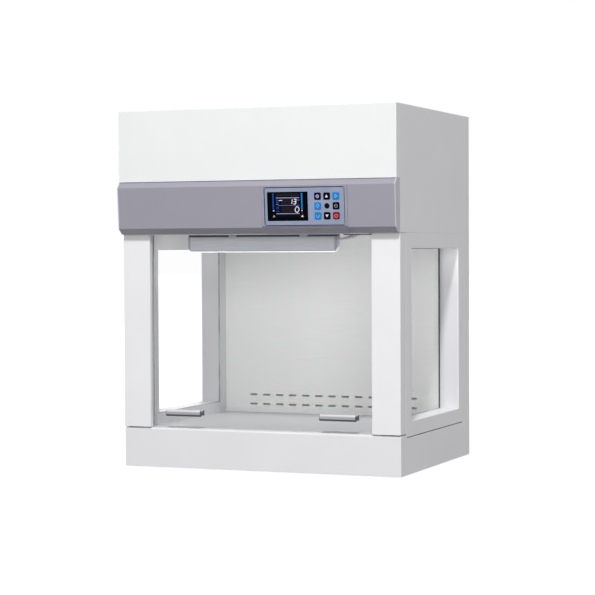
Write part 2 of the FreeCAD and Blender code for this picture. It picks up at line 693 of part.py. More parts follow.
def inner_back_panel():
    """Slotted stainless panel in front of the rear duct."""
    x1 = INNER_X - FACE_GAP
    z1 = CHAMBER_HEAD - SHEET
    panel = box(-x1, x1, DUCT_Y, DUCT_Y + STAINLESS, WORK_TOP, z1)
    flange = box(x1 - STAINLESS, x1, DUCT_Y, DUCT_Y + BACK_PANEL_FLANGE, WORK_TOP, z1)
    cutters = []
    for row in SLOT_ROWS:
        for x in spread(SLOT_COUNT, SLOT_PITCH):
            cutters.append(rounded_plate(SLOT_LENGTH, SLOT_HEIGHT, SLOT_CORNER, DUCT_Y, DUCT_Y + STAINLESS,
                                         x, WORK_TOP + row))
    return panel.cut(cutters).fuse([flange, mirror(flange)]).removeSplitter()


def ceiling_panel():
    """Ceiling of the chamber, with intake slots and a hole for the lamp's lead."""
    x1 = INNER_X - FACE_GAP
    z0, z1 = CHAMBER_HEAD - SHEET, CHAMBER_HEAD
    panel = box(-x1, x1, CEILING_Y, DUCT_Y + STAINLESS, z0, z1)
    cutters = []
    for x in spread(CEILING_COLUMNS, CEILING_COLUMN_PITCH):
        for row in spread(CEILING_ROWS, CEILING_ROW_PITCH):
            cutters.append(slot_block(CEILING_SLOT_LENGTH, CEILING_SLOT_WIDTH, x, FAN_Y + row, z0, z1))
    lead_x = lamp_ends()[1] + LEAD_LEVEL + LEAD_RISE_LENGTH - LEAD_SLOT_SHIFT
    cutters.append(slot_block(LEAD_SLOT, 2 * LEAD_RADIUS + 2, lead_x, LEAD_Y, z0, z1))
    return panel.cut(cutters)


# Lamp

def lamp_outline(inset):
    """D-shaped section of the lamp as a closed wire in the plane X 0."""
    y0, y1 = LAMP_Y + inset, LAMP_Y + LAMP_DEPTH - inset
    z0, z1 = LAMP_TOP - LAMP_HEIGHT + inset, LAMP_TOP - inset
    radius = (y1 - y0) / 2
    middle = (y0 + y1) / 2
    spring = z0 + radius
    arc = Part.Arc(vec(0, y1, spring), vec(0, middle, z0), vec(0, y0, spring)).toShape()
    front = Part.makeLine(vec(0, y0, spring), vec(0, y0, z1))
    top = Part.makeLine(vec(0, y0, z1), vec(0, y1, z1))
    back = Part.makeLine(vec(0, y1, z1), vec(0, y1, spring))
    return Part.Wire([front, top, back, arc])


def lamp_prism(inset, x0, x1):
    solid = Part.Face(lamp_outline(inset)).extrude(vec(x1 - x0, 0, 0))
    solid.translate(vec(x0, 0, 0))
    return solid


def lamp_ends():
    return LAMP_X - LAMP_LENGTH / 2, LAMP_X + LAMP_LENGTH / 2


def lamp_cover():
    """Translucent extruded cover of the lamp."""
    x0, x1 = lamp_ends()
    outer = lamp_prism(0, x0 + LAMP_CAP, x1 - LAMP_CAP)
    return outer.cut(lamp_prism(LAMP_WALL, x0 + LAMP_CAP, x1 - LAMP_CAP))


def lamp_caps():
    """End caps, with their lower outer corner sloped off; each has a socket for the tube."""
    x0, x1 = lamp_ends()
    caps = []
    for start, outer_side in ((x0, -1), (x1 - LAMP_CAP, 1)):
        cap = lamp_prism(0, start, start + LAMP_CAP)
        edge = x0 if outer_side < 0 else x1
        low = LAMP_TOP - LAMP_HEIGHT
        slope = prism([vec(edge, LAMP_Y - 1, low), vec(edge - outer_side * LAMP_CAP, LAMP_Y - 1, low),
                       vec(edge, LAMP_Y - 1, low + CAP_SLOPE)], vec(0, LAMP_DEPTH + 2, 0))
        inward = start + LAMP_CAP if outer_side < 0 else start - CAP_PLUG
        plug = lamp_prism(LAMP_WALL + FACE_GAP, inward, inward + CAP_PLUG)
        caps.append(cap.cut(slope).fuse(plug).removeSplitter())
    return Part.makeCompound(caps)


def lamp_tube():
    x0, x1 = lamp_ends()
    reach = LAMP_CAP + CAP_PLUG + FACE_GAP
    z = LAMP_TOP - LAMP_HEIGHT / 2
    return Part.makeCylinder(TUBE_RADIUS, x1 - x0 - 2 * reach,
                             vec(x0 + reach, LAMP_Y + LAMP_DEPTH / 2, z), vec(1, 0, 0))


def lamp_clips():
    """Two spring clips between the ceiling and the lamp."""
    half = CLIP_WIDTH / 2
    front, back = LAMP_Y - FACE_GAP, LAMP_Y + LAMP_DEPTH + FACE_GAP
    clips = []
    for x in (CLIP_LEFT_X, CLIP_RIGHT_X):
        clip = box(x - half, x + half, front - SHEET, back + SHEET, LAMP_TOP - CLIP_GRIP, CHAMBER_HEAD - SHEET)
        lamp_space = box(x - half, x + half, front, back, LAMP_TOP - CLIP_GRIP, LAMP_TOP)
        upper_space = box(x - half, x + half, front + 2 * SHEET, back - 2 * SHEET,
                          LAMP_TOP + SHEET, CHAMBER_HEAD - SHEET)
        clips.append(clip.cut([lamp_space, upper_space]))
    return Part.makeCompound(clips)


def lamp_lead():
    """Sheathed lead from the right end cap up through the ceiling: straight runs and tangent arcs."""
    x_start = lamp_ends()[1]
    y = LEAD_Y
    z_start = LAMP_TOP - LEAD_DROP
    x_bend = x_start + LEAD_LEVEL
    x_top = x_bend + LEAD_RISE_LENGTH
    points = [vec(x_start, y, z_start), vec(x_bend, y, z_start), vec(x_top, y, CHAMBER_HEAD + 2),
              vec(x_top + LEAD_LEAN, y, CHAMBER_HEAD + LEAD_END)]
    edges = []
    last = points[0]
    for before, corner, after in zip(points, points[1:], points[2:]):
        into = corner - before
        out = after - corner
        half_turn = into.getAngle(out) / 2
        cut_back = 0.45 * min(into.Length, out.Length)
        into.normalize()
        out.normalize()
        start = corner - into * cut_back
        end = corner + out * cut_back
        inward = out - into
        inward.normalize()
        radius = cut_back / math.tan(half_turn)
        middle = corner + inward * (radius / math.cos(half_turn) - radius)
        edges.append(Part.makeLine(last, start))
        edges.append(Part.Arc(start, middle, end).toShape())
        last = end
    edges.append(Part.makeLine(last, points[-1]))
    return swept(Part.Wire(edges), points[0], LEAD_RADIUS, ROD_SIDES, vec(0, 1, 0), vec(0, 0, 1))


# Sash and counterbalance

def sash_glass():
    pane = box(-GLASS_EDGE_X, GLASS_EDGE_X, GLASS_Y, GLASS_BACK_Y, GLASS_BOTTOM, GLASS_TOP)
    bottom = [edge for edge in pane.Edges if edge.BoundBox.XLength > 1 and edge.BoundBox.ZMax < GLASS_TOP]
    return pane.makeChamfer(0.8, bottom)


def handle(x):
    """Open-bottomed pull along the sash, with a groove in its top; its back limb lies on the glass."""
    back = GLASS_Y
    front = GLASS_Y - HANDLE_DEPTH
    low, high = HANDLE_Z, HANDLE_Z + HANDLE_HEIGHT
    line = [(back, low + 1), (back, high - 1.5), (back - 7, high - 1.0), (back - 13, high - 5.5),
            (back - 19, high), (front + 3, high - 1.0), (front, high - 5), (front, low + 3.5),
            (front + 3, low), (front + 7, low)]
    return folded(line, HANDLE_WALL, x - HANDLE_LENGTH / 2, x + HANDLE_LENGTH / 2)


def sash_track():
    """Right track: an extruded channel with a groove for the glass and a hollow rear rib."""
    z1 = TRACK_TOP
    body = box(TRACK_X, INNER_X, TRACK_Y, TRACK_BACK_Y, BASE_TOP, z1)
    web = TRACK_WIDTH - TRACK_LIP
    groove = box(TRACK_X, TRACK_X + web, GLASS_Y - GROOVE_CLEARANCE, GLASS_BACK_Y + GROOVE_CLEARANCE,
                 GLASS_BOTTOM - FACE_GAP, z1)
    rib_front = GLASS_BACK_Y + GROOVE_CLEARANCE + TRACK_LIP
    rib_groove = box(TRACK_X, TRACK_X + web, rib_front, TRACK_BACK_Y - TRACK_LIP, BASE_TOP, z1)
    return body.cut([groove, rib_groove])


def sash_clamps():
    """Brackets at the top corners of the glass, where the cables end."""
    x0 = CABLE_INNER_X - CLAMP_WIDTH / 2
    x1 = CABLE_INNER_X + CLAMP_WIDTH / 2
    back = CABLE_Y + 4
    clamp = box(x0, x1, GLASS_Y - SHEET, back, GLASS_TOP - CLAMP_HEIGHT, GLASS_TOP + SHEET)
    glass = box(x0, x1, GLASS_Y, GLASS_BACK_Y, GLASS_TOP - CLAMP_HEIGHT, GLASS_TOP)
    clamp = clamp.cut(glass)
    return pair(clamp)


def sheave():
    """Grooved wheel on the right, with a bore that runs on its pin."""
    y0, y1 = CABLE_Y - SHEAVE_WIDTH / 2, CABLE_Y + SHEAVE_WIDTH / 2
    root = SHEAVE_PITCH - CABLE_RADIUS - FACE_GAP
    outline = [(PIN_RADIUS + RUNNING_FIT, y0), (SHEAVE_RADIUS, y0), (root, CABLE_Y - CABLE_RADIUS),
               (root, CABLE_Y + CABLE_RADIUS), (SHEAVE_RADIUS, y1), (PIN_RADIUS + RUNNING_FIT, y1)]
    points = [vec(SHEAVE_X + radius, y, SHEAVE_HEIGHT) for radius, y in outline]
    face = Part.Face(Part.makePolygon([*points, points[0]]))
    return face.revolve(vec(SHEAVE_X, 0, SHEAVE_HEIGHT), vec(0, 1, 0), 360)


def sheave_brackets():
    """A bracket with a pin for each sheave, hung from the top cover."""
    reach = SHEAVE_WIDTH / 2 + SHEAVE_SIDE_GAP
    y0, y1 = CABLE_Y - reach, CABLE_Y + reach
    half_width = BRACKET_WIDTH / 2
    x0, x1 = SHEAVE_X - half_width, SHEAVE_X + half_width
    cheeks = [box(x0, x1, y, y + SHEET, SHEAVE_HEIGHT - 2 * PIN_RADIUS, SKIN_TOP) for y in (y0 - SHEET, y1)]
    web = box(x0, x1, y0, y1, SKIN_TOP - BRACKET_WEB, SKIN_TOP)
    pin = cylinder_y(PIN_RADIUS, SHEAVE_X, SHEAVE_HEIGHT, y0 - SHEET, y1 + SHEET)
    bracket = web.fuse([*cheeks, pin]).removeSplitter()
    return pair(bracket)


def sash_cables():
    """A steel cable each side, from the sash over the sheave to the counterweight."""
    sash_end = GLASS_TOP + SHEET + FACE_GAP
    weight_end = WEIGHT_TOP + FACE_GAP
    rise_in = Part.makeLine(vec(CABLE_INNER_X, CABLE_Y, sash_end), vec(CABLE_INNER_X, CABLE_Y, SHEAVE_HEIGHT))
    over = Part.Arc(vec(CABLE_INNER_X, CABLE_Y, SHEAVE_HEIGHT),
                    vec(SHEAVE_X, CABLE_Y, SHEAVE_HEIGHT + SHEAVE_PITCH),
                    vec(CABLE_OUTER_X, CABLE_Y, SHEAVE_HEIGHT)).toShape()
    fall = Part.makeLine(vec(CABLE_OUTER_X, CABLE_Y, SHEAVE_HEIGHT), vec(CABLE_OUTER_X, CABLE_Y, weight_end))
    start = vec(CABLE_INNER_X, CABLE_Y, sash_end)
    path = Part.Wire([rise_in, over, fall])
    return pair(swept(path, start, CABLE_RADIUS, ROD_SIDES, vec(1, 0, 0), vec(0, 1, 0)))


def counterweight():
    """Right steel counterweight, in the hollow of the front post."""
    bar = box(CABLE_OUTER_X - WEIGHT_WIDTH / 2, CABLE_OUTER_X + WEIGHT_WIDTH / 2, CABLE_Y - WEIGHT_DEPTH / 2,
              CABLE_Y + WEIGHT_DEPTH / 2, WEIGHT_TOP - WEIGHT_LENGTH, WEIGHT_TOP)
    return bar.makeChamfer(2.0, [edge for edge in bar.Edges if edge.BoundBox.ZLength < 1])


# Filter and fan

def plenum_wall():
    """Upright sheet between the sash's lane and the filter plenum."""
    return box(-HALF + SHEET, HALF - SHEET, PLENUM_Y, PLENUM_Y + SHEET, CHAMBER_HEAD + PANEL_GAP, SKIN_TOP)


def plenum_plate(z0, hole):
    """Level sheet across the plenum, with turned-down edges and a hole through it."""
    x1 = HALF - SHEET
    y0, y1 = PLENUM_Y + SHEET, BACK_Y - 2 * SHEET
    tray = box(-x1, x1, y0, y1, z0 - PLENUM_FLANGE, z0 + SHEET)
    tray = tray.cut(box(-x1 + SHEET, x1 - SHEET, y0 + SHEET, y1 - SHEET, z0 - PLENUM_FLANGE, z0))
    return tray.cut(hole)


def filter_shelf():
    x1 = FILTER_X - FILTER_FRAME
    hole = box(-x1, x1, FILTER_FRONT_Y + FILTER_FRAME, FILTER_BACK_Y - FILTER_FRAME,
               SHELF_HEIGHT - PLENUM_FLANGE, SHELF_HEIGHT + SHEET)
    return plenum_plate(SHELF_HEIGHT, hole)


def filter_cassette():
    """Framed filter with its pleated pack sealed in, as one unit."""
    z0 = SHELF_HEIGHT + SHEET
    z1 = z0 + FILTER_HEIGHT
    x1, y1 = FILTER_X, FILTER_BACK_Y - FAN_Y
    frame = box(-x1, x1, FAN_Y - y1, FAN_Y + y1, z0, z1)
    inner_x, inner_y = x1 - FILTER_FRAME, y1 - FILTER_FRAME
    frame = frame.cut(box(-inner_x, inner_x, FAN_Y - inner_y, FAN_Y + inner_y, z0, z1))
    count = int(2 * inner_x / PLEAT_PITCH)
    step = 2 * inner_x / count
    low, high = z0 + 4, z1 - 4 - PLEAT_RISE
    line = []
    for index in range(2 * count + 1):
        line.append((-inner_x + index * step / 2, low if index % 2 == 0 else high))
    upper = [(x, z + PLEAT_RISE) for x, z in line]
    outline = [*line, *reversed(upper)]
    pleats = prism([vec(x, FAN_Y - inner_y, z) for x, z in outline], vec(0, 2 * inner_y, 0))
    return frame.fuse(pleats).removeSplitter()


def fan_deck():
    """Deck over the filter, with a coned inlet that leads into the fan wheel."""
    z1 = DECK_HEIGHT + SHEET
    mouth = THROAT_RADIUS + BELL_RADIUS
    hole = cylinder_z(mouth, 0, FAN_Y, DECK_HEIGHT - 20, DECK_HEIGHT + 20)
    deck = plenum_plate(DECK_HEIGHT, hole)
    neck = DECK_HEIGHT + BELL_RADIUS
    outer = THROAT_RADIUS + SHEET
    outline = [(mouth, DECK_HEIGHT), (THROAT_RADIUS, neck), (THROAT_RADIUS, neck + BELL_NECK),
               (outer, neck + BELL_NECK), (outer, neck + SHEET / 2), (mouth, z1)]
    points = [vec(radius, 0, z) for radius, z in outline]
    face = Part.Face(Part.makePolygon([*points, points[0]]))
    bell = face.revolve(vec(0, 0, 0), vec(0, 0, 1), 360)
    bell.translate(vec(0, FAN_Y, 0))
    return deck.fuse(bell).removeSplitter()


def disc_z(radius, z0, z1):
    """Many-sided level disc about the wheel's axis."""
    points = regular_points(radius, WHEEL_SIDES, vec(0, 0, z0), vec(1, 0, 0), vec(0, 1, 0))
    return prism(points, vec(0, 0, z1 - z0))


def fan_blade(z0, z1):
    """One backward-curved blade between the shroud and the back plate, in straight steps."""
    line = []
    for step in range(BLADE_STEPS + 1):
        share = step / BLADE_STEPS
        radius = BLADE_INNER_RADIUS + share * (WHEEL_RADIUS - 3 - BLADE_INNER_RADIUS)
        angle = math.radians(BLADE_SWEEP) * share ** 0.7
        line.append((radius * math.cos(angle), radius * math.sin(angle)))
    outline = [*line, *reversed(offset_line(line, BLADE_SHEET))]
    return prism([vec(x, y, z0) for x, y in outline], vec(0, 0, z1 - z0))


def fan_wheel():
    """Backward-curved centrifugal wheel: shroud, blades, back plate and hub."""
    z0, z1 = WHEEL_BOTTOM, WHEEL_TOP
    sheet = BLADE_SHEET
    eye = disc_z(THROAT_RADIUS + 2, z0, z0 + sheet)
    shroud = disc_z(WHEEL_RADIUS, z0, z0 + sheet).cut(eye)
    plate = disc_z(WHEEL_RADIUS, z1 - sheet, z1)
    hub = cylinder_z(HUB_RADIUS, 0, 0, z1 - HUB_HEIGHT, z1)
    blades = []
    for index in range(BLADE_COUNT):
        blade = fan_blade(z0 + sheet / 2, z1 - sheet / 2)
        blade.rotate(vec(0, 0, 0), vec(0, 0, 1), index * 360 / BLADE_COUNT)
        blades.append(blade)
    wheel = plate.fuse([shroud, hub, *blades])
    wheel = wheel.cut(cylinder_z(SHAFT_RADIUS + RUNNING_FIT, 0, 0, z1 - HUB_HEIGHT, z1)).removeSplitter()
    wheel.translate(vec(0, FAN_Y, 0))
    return wheel


def fan_motor():
    """Motor under the bridge and over the wheel, with its shaft in the hub."""
    z0 = WHEEL_TOP + MOTOR_GAP
    z1 = z0 + MOTOR_HEIGHT
    can = cylinder_z(MOTOR_RADIUS, 0, FAN_Y, z0, z1)
    shaft = cylinder_z(SHAFT_RADIUS, 0, FAN_Y, WHEEL_TOP - HUB_HEIGHT + 2, z0)
    return can.fuse(shaft).removeSplitter()


def motor_bridge():
    """Bent bridge over the wheel that carries the motor from the fan deck."""
    z0, z1 = DECK_HEIGHT + SHEET, BRIDGE_TOP
    reach = BRIDGE_SPAN / 2
    foot = BRIDGE_FOOT
    outer = reach + BRIDGE_SHEET
    foot_top = z0 + BRIDGE_SHEET
    right = [(outer, z1), (outer, foot_top), (reach + foot, foot_top), (reach + foot, z0), (reach, z0),
             (reach, z1 - BRIDGE_SHEET)]
    outline = [*right, *reversed([(-x, z) for x, z in right])]
    y0 = FAN_Y - BRIDGE_WIDTH / 2
    return prism([vec(x, y0, z) for x, z in outline], vec(0, BRIDGE_WIDTH, 0))


# Fixings and power inlet

def screw_places():
    """Screws round the edge of the back, as (x, z)."""
    x = HALF - SCREW_EDGE
    low, high = FOOT_HEIGHT + 30, SKIN_TOP - 20
    places = []
    for side in (-1, 1):
        for index in range(SCREW_COUNT):
            places.append((side * x, low + index * (high - low) / (SCREW_COUNT - 1)))
    return places


def cover_screws():
    """Heads of the screws that hold the back to the side flanges."""
    screws = []
    for x, z in screw_places():
        points = regular_points(SCREW_HEAD_RADIUS, ROD_SIDES, vec(x, BACK_Y, z), vec(1, 0, 0), vec(0, 0, 1))
        screws.append(prism(points, vec(0, SCREW_HEAD_HEIGHT, 0)))
    return Part.makeCompound(screws)


def inlet_block(margin, front, back):
    """Body of the inlet behind its flange, drawn in by a margin."""
    half_width = INLET_WIDTH / 2 - INLET_EAR - margin
    half_height = INLET_HEIGHT / 2 - INLET_RIM - margin
    return box(INLET_X - half_width, INLET_X + half_width, front, back,
               INLET_Z - half_height, INLET_Z + half_height)


def power_inlet():
    """Three-pin inlet socket let into the back."""
    flange = rounded_plate(INLET_WIDTH, INLET_HEIGHT, 3.0, BACK_Y, BACK_Y + SCREW_HEAD_HEIGHT, INLET_X, INLET_Z)
    bottom = BACK_Y - INLET_DEPTH
    body = inlet_block(FACE_GAP, bottom, BACK_Y)
    well = inlet_block(FACE_GAP + INLET_WALL, bottom + 2 * INLET_WALL, BACK_Y + SCREW_HEAD_HEIGHT)
    inlet = flange.fuse(body).cut(well)
    pins = []
    for x, z in ((-7, -2), (0, 2), (7, -2)):
        pins.append(box(INLET_X + x - 1, INLET_X + x + 1, bottom + INLET_WALL, BACK_Y - 4,
                        INLET_Z + z - 2, INLET_Z + z + 2))
    return inlet.fuse(pins).removeSplitter()


def all_nodes():
    nodes = {
        "side_skin_right": side_skin(),
        "back_skin": back_skin(),
        "base_apron": base_apron(),
        "base_floor": base_floor(),
        "foot_pads": foot_pads(),
        "top_cover": top_cover(),
        "exhaust_grille": exhaust_grille(),
        "upper_front_panel": upper_front_panel(),
        "fascia": fascia(),
        "fascia_cap_right": fascia_cap(),
        "control_plate": control_plate(),
        "control_bezel": control_bezel(),
        "display_window": display_window(),
        "receiver_window": receiver_window(),
        "control_board": control_board(),
        "window_frame_right": window_frame(),
        "glazing_seal_right": glazing_seal(),
        "side_glass_right": side_glass(),
        "worktop": worktop(),
        "inner_back_panel": inner_back_panel(),
        "ceiling_panel": ceiling_panel(),
        "lamp_cover": lamp_cover(),
        "lamp_caps": lamp_caps(),
        "lamp_tube": lamp_tube(),
        "lamp_clips": lamp_clips(),
        "lamp_lead": lamp_lead(),
        "sash_glass": sash_glass(),
        "sash_handle_left": handle(HANDLE_SHIFT - HANDLE_X),
        "sash_handle_right": handle(HANDLE_SHIFT + HANDLE_X),
        "sash_track_right": sash_track(),
        "sash_clamps": sash_clamps(),
        "sheave_right": sheave(),
        "sheave_brackets": sheave_brackets(),
        "sash_cables": sash_cables(),
        "counterweight_right": counterweight(),
        "plenum_wall": plenum_wall(),
        "filter_shelf": filter_shelf(),
        "filter_cassette": filter_cassette(),
        "fan_deck": fan_deck(),
        "fan_wheel": fan_wheel(),
        "fan_motor": fan_motor(),
        "motor_bridge": motor_bridge(),
        "cover_screws": cover_screws(),
        "power_inlet": power_inlet(),
    }
    for name in list(nodes):
        if name.endswith("_right") and name.replace("_right", "_left") not in nodes:
            nodes[name.replace("_right", "_left")] = mirror(nodes[name])
    names = iter(("timer", "up", "fan", "light", "mode", "socket", "down", "power"))
    for x, z in key_centres():
        if (x, z) != (KEY_COLUMN_X, 0):
            nodes["key_" + next(names)] = key(x, z)
    return nodes


os.makedirs("parts", exist_ok=True)
for node, shape in all_nodes().items():
    shape.exportStep("parts/" + node + ".step")
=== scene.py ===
import bpy
import bmesh
import json
import math
from mathutils import Matrix, Vector


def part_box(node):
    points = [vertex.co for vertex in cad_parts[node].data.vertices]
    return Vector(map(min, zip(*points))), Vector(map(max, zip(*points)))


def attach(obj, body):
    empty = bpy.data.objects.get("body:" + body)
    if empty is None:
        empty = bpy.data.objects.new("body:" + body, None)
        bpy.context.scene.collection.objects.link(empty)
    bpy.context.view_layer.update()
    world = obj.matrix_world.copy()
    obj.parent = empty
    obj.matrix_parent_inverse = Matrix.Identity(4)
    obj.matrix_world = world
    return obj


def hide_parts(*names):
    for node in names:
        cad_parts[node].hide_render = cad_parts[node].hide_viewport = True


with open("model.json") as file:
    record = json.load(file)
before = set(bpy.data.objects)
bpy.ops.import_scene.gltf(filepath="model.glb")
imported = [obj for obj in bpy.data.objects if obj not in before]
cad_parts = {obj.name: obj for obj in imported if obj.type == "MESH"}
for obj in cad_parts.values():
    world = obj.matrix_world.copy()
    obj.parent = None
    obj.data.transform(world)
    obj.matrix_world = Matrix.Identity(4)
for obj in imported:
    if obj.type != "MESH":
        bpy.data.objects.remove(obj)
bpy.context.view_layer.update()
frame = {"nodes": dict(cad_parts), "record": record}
nodes = frame["nodes"]

# The camera, fitted to the cabinet's edges: place in metres, yaw, pitch and roll in degrees.
CAMERA_AT = (1.76224, -4.31862, 0.52497)
CAMERA_TURN = (22.221, 1.504, -0.249)
FOCAL_PIXELS = 1904.67
PICTURE_PIXELS = 595.0
SENSOR_WIDTH = 36.0

# Places shared with the CAD, in metres
TILT = math.radians(4.148746)
FACE_Y = -0.277
FACE_Z = 0.61925
DISPLAY_X = 0.0872
KEY_X = 0.1842
KEY_PITCH = 0.0224
BEZEL_X = 0.1286
PLATE_REACH = 0.1055

# Where the painted shade on the rear reveal starts and where it is full, in metres
REVEAL_SHADE_SIDE = (0.3484, 0.3482)
REVEAL_SHADE_REAR = (0.1860, 0.1885)
REVEAL_SHADE_HEIGHT = (0.50, 0.43)


def lin(colour):
    """An sRGB colour, 0 to 1, as the linear values a shader takes."""
    return tuple(v / 12.92 if v <= 0.04045 else ((v + 0.055) / 1.055) ** 2.4 for v in colour)


# Camera

def make_camera():
    yaw, pitch, roll = (math.radians(v) for v in CAMERA_TURN)
    forward = Vector((-math.sin(yaw) * math.cos(pitch), math.cos(yaw) * math.cos(pitch), -math.sin(pitch)))
    right = Vector((math.cos(yaw), math.sin(yaw), 0.0))
    up = right.cross(forward)
    r = math.cos(roll) * right + math.sin(roll) * up
    u = -math.sin(roll) * right + math.cos(roll) * up
    data = bpy.data.cameras.new("camera")
    data.sensor_width = SENSOR_WIDTH
    data.lens = FOCAL_PIXELS / PICTURE_PIXELS * SENSOR_WIDTH
    data.clip_start, data.clip_end = 0.1, 200.0
    camera = bpy.data.objects.new("camera", data)
    bpy.context.scene.collection.objects.link(camera)
    matrix = Matrix((r, u, -forward)).transposed().to_4x4()
    matrix.translation = Vector(CAMERA_AT)
    camera.matrix_world = matrix
    bpy.context.scene.camera = camera


# Light, world and floor

def soft_box(name, direction, level, size, distance=9.0, colour=(1.0, 1.0, 1.0)):
    """An area lamp that lights a surface square to it at the given level, 1 being full white."""
    data = bpy.data.lights.new(name, "AREA")
    data.shape = "SQUARE"
    data.size = size
    data.color = colour
    data.energy = level * math.pi ** 2 * distance ** 2
    lamp = bpy.data.objects.new(name, data)
    bpy.context.scene.collection.objects.link(lamp)
    toward = Vector(direction).normalized()
    lamp.location = Vector((0.0, -0.1, 0.45)) + toward * distance
    lamp.rotation_mode = "QUATERNION"
    lamp.rotation_quaternion = toward.to_track_quat("Z", "Y")
    return lamp


def make_chamber_fill():
    """A faint unseen panel of light behind the sash, so that the chamber isn't a dark box."""
    data = bpy.data.lights.new("chamber_fill", "AREA")
    data.shape = "RECTANGLE"
    data.size, data.size_y = 0.56, 0.20
    data.energy = 0.56
    lamp = bpy.data.objects.new("chamber_fill", data)
    bpy.context.scene.collection.objects.link(lamp)
    lamp.location = (0.03, -0.186, 0.425)
    lamp.rotation_euler = (math.radians(104.0), 0.0, 0.0)
    lamp.visible_camera = False
    lamp.visible_glossy = False
    lamp.visible_transmission = False


def seen_directly(tree):
    """1 for camera, glossy and transmission rays, else 0."""
    path = tree.nodes.new("ShaderNodeLightPath")
    first = tree.nodes.new("ShaderNodeMath")
    first.operation = "MAXIMUM"
    second = tree.nodes.new("ShaderNodeMath")
    second.operation = "MAXIMUM"
    tree.links.new(path.outputs["Is Camera Ray"], first.inputs[0])
    tree.links.new(path.outputs["Is Glossy Ray"], first.inputs[1])
    tree.links.new(first.outputs[0], second.inputs[0])
    tree.links.new(path.outputs["Is Transmission Ray"], second.inputs[1])
    return second.outputs[0]


def make_world():
    world = bpy.data.worlds.new("studio")
    bpy.context.scene.world = world
    world.use_nodes = True
    tree = world.node_tree
    tree.nodes.clear()
    ambient = tree.nodes.new("ShaderNodeBackground")
    ambient.inputs["Color"].default_value = (0.98, 0.99, 1.0, 1.0)
    ambient.inputs["Strength"].default_value = 0.365
    white = tree.nodes.new("ShaderNodeBackground")
    white.inputs["Color"].default_value = (1.0, 1.0, 1.0, 1.0)
    white.inputs["Strength"].default_value = 1.0
    mix = tree.nodes.new("ShaderNodeMixShader")
    out = tree.nodes.new("ShaderNodeOutputWorld")
    tree.links.new(seen_directly(tree), mix.inputs[0])
    tree.links.new(ambient.outputs[0], mix.inputs[1])
    tree.links.new(white.outputs[0], mix.inputs[2])
    tree.links.new(mix.outputs[0], out.inputs[0])


def make_floor():
    mesh = bpy.data.meshes.new("floor")
    mesh.from_pydata([(-30, -30, 0), (30, -30, 0), (30, 30, 0), (-30, 30, 0)], [], [(0, 1, 2, 3)])
    floor = bpy.data.objects.new("floor", mesh)
    floor.location.z = -0.0004
    bpy.context.scene.collection.objects.link(floor)
    material = bpy.data.materials.new("floor")
    material.use_nodes = True
    tree = material.node_tree
    tree.nodes.clear()
    diffuse = tree.nodes.new("ShaderNodeBsdfDiffuse")
    diffuse.inputs["Color"].default_value = (0.20, 0.20, 0.20, 1.0)
    glow = tree.nodes.new("ShaderNodeEmission")
    place = tree.nodes.new("ShaderNodeTexCoord")
    reach = tree.nodes.new("ShaderNodeVectorMath")
    reach.operation = "LENGTH"
    lift = tree.nodes.new("ShaderNodeMapRange")
    lift.interpolation_type = "SMOOTHSTEP"
    for key, number in (("From Min", 0.6), ("From Max", 3.0), ("To Min", 0.90), ("To Max", 1.0)):
        lift.inputs[key].default_value = number
    gain = tree.nodes.new("ShaderNodeMath")
    gain.operation = "MULTIPLY"
    tree.links.new(place.outputs["Object"], reach.inputs[0])
    tree.links.new(reach.outputs["Value"], lift.inputs["Value"])
    tree.links.new(lift.outputs["Result"], gain.inputs[1])
    add = tree.nodes.new("ShaderNodeAddShader")
    out = tree.nodes.new("ShaderNodeOutputMaterial")
    tree.links.new(seen_directly(tree), gain.inputs[0])
    tree.links.new(gain.outputs[0], glow.inputs["Strength"])
    tree.links.new(diffuse.outputs[0], add.inputs[0])
    tree.links.new(glow.outputs[0], add.inputs[1])
    tree.links.new(add.outputs[0], out.inputs[0])
    mesh.materials.append(material)


# Materials

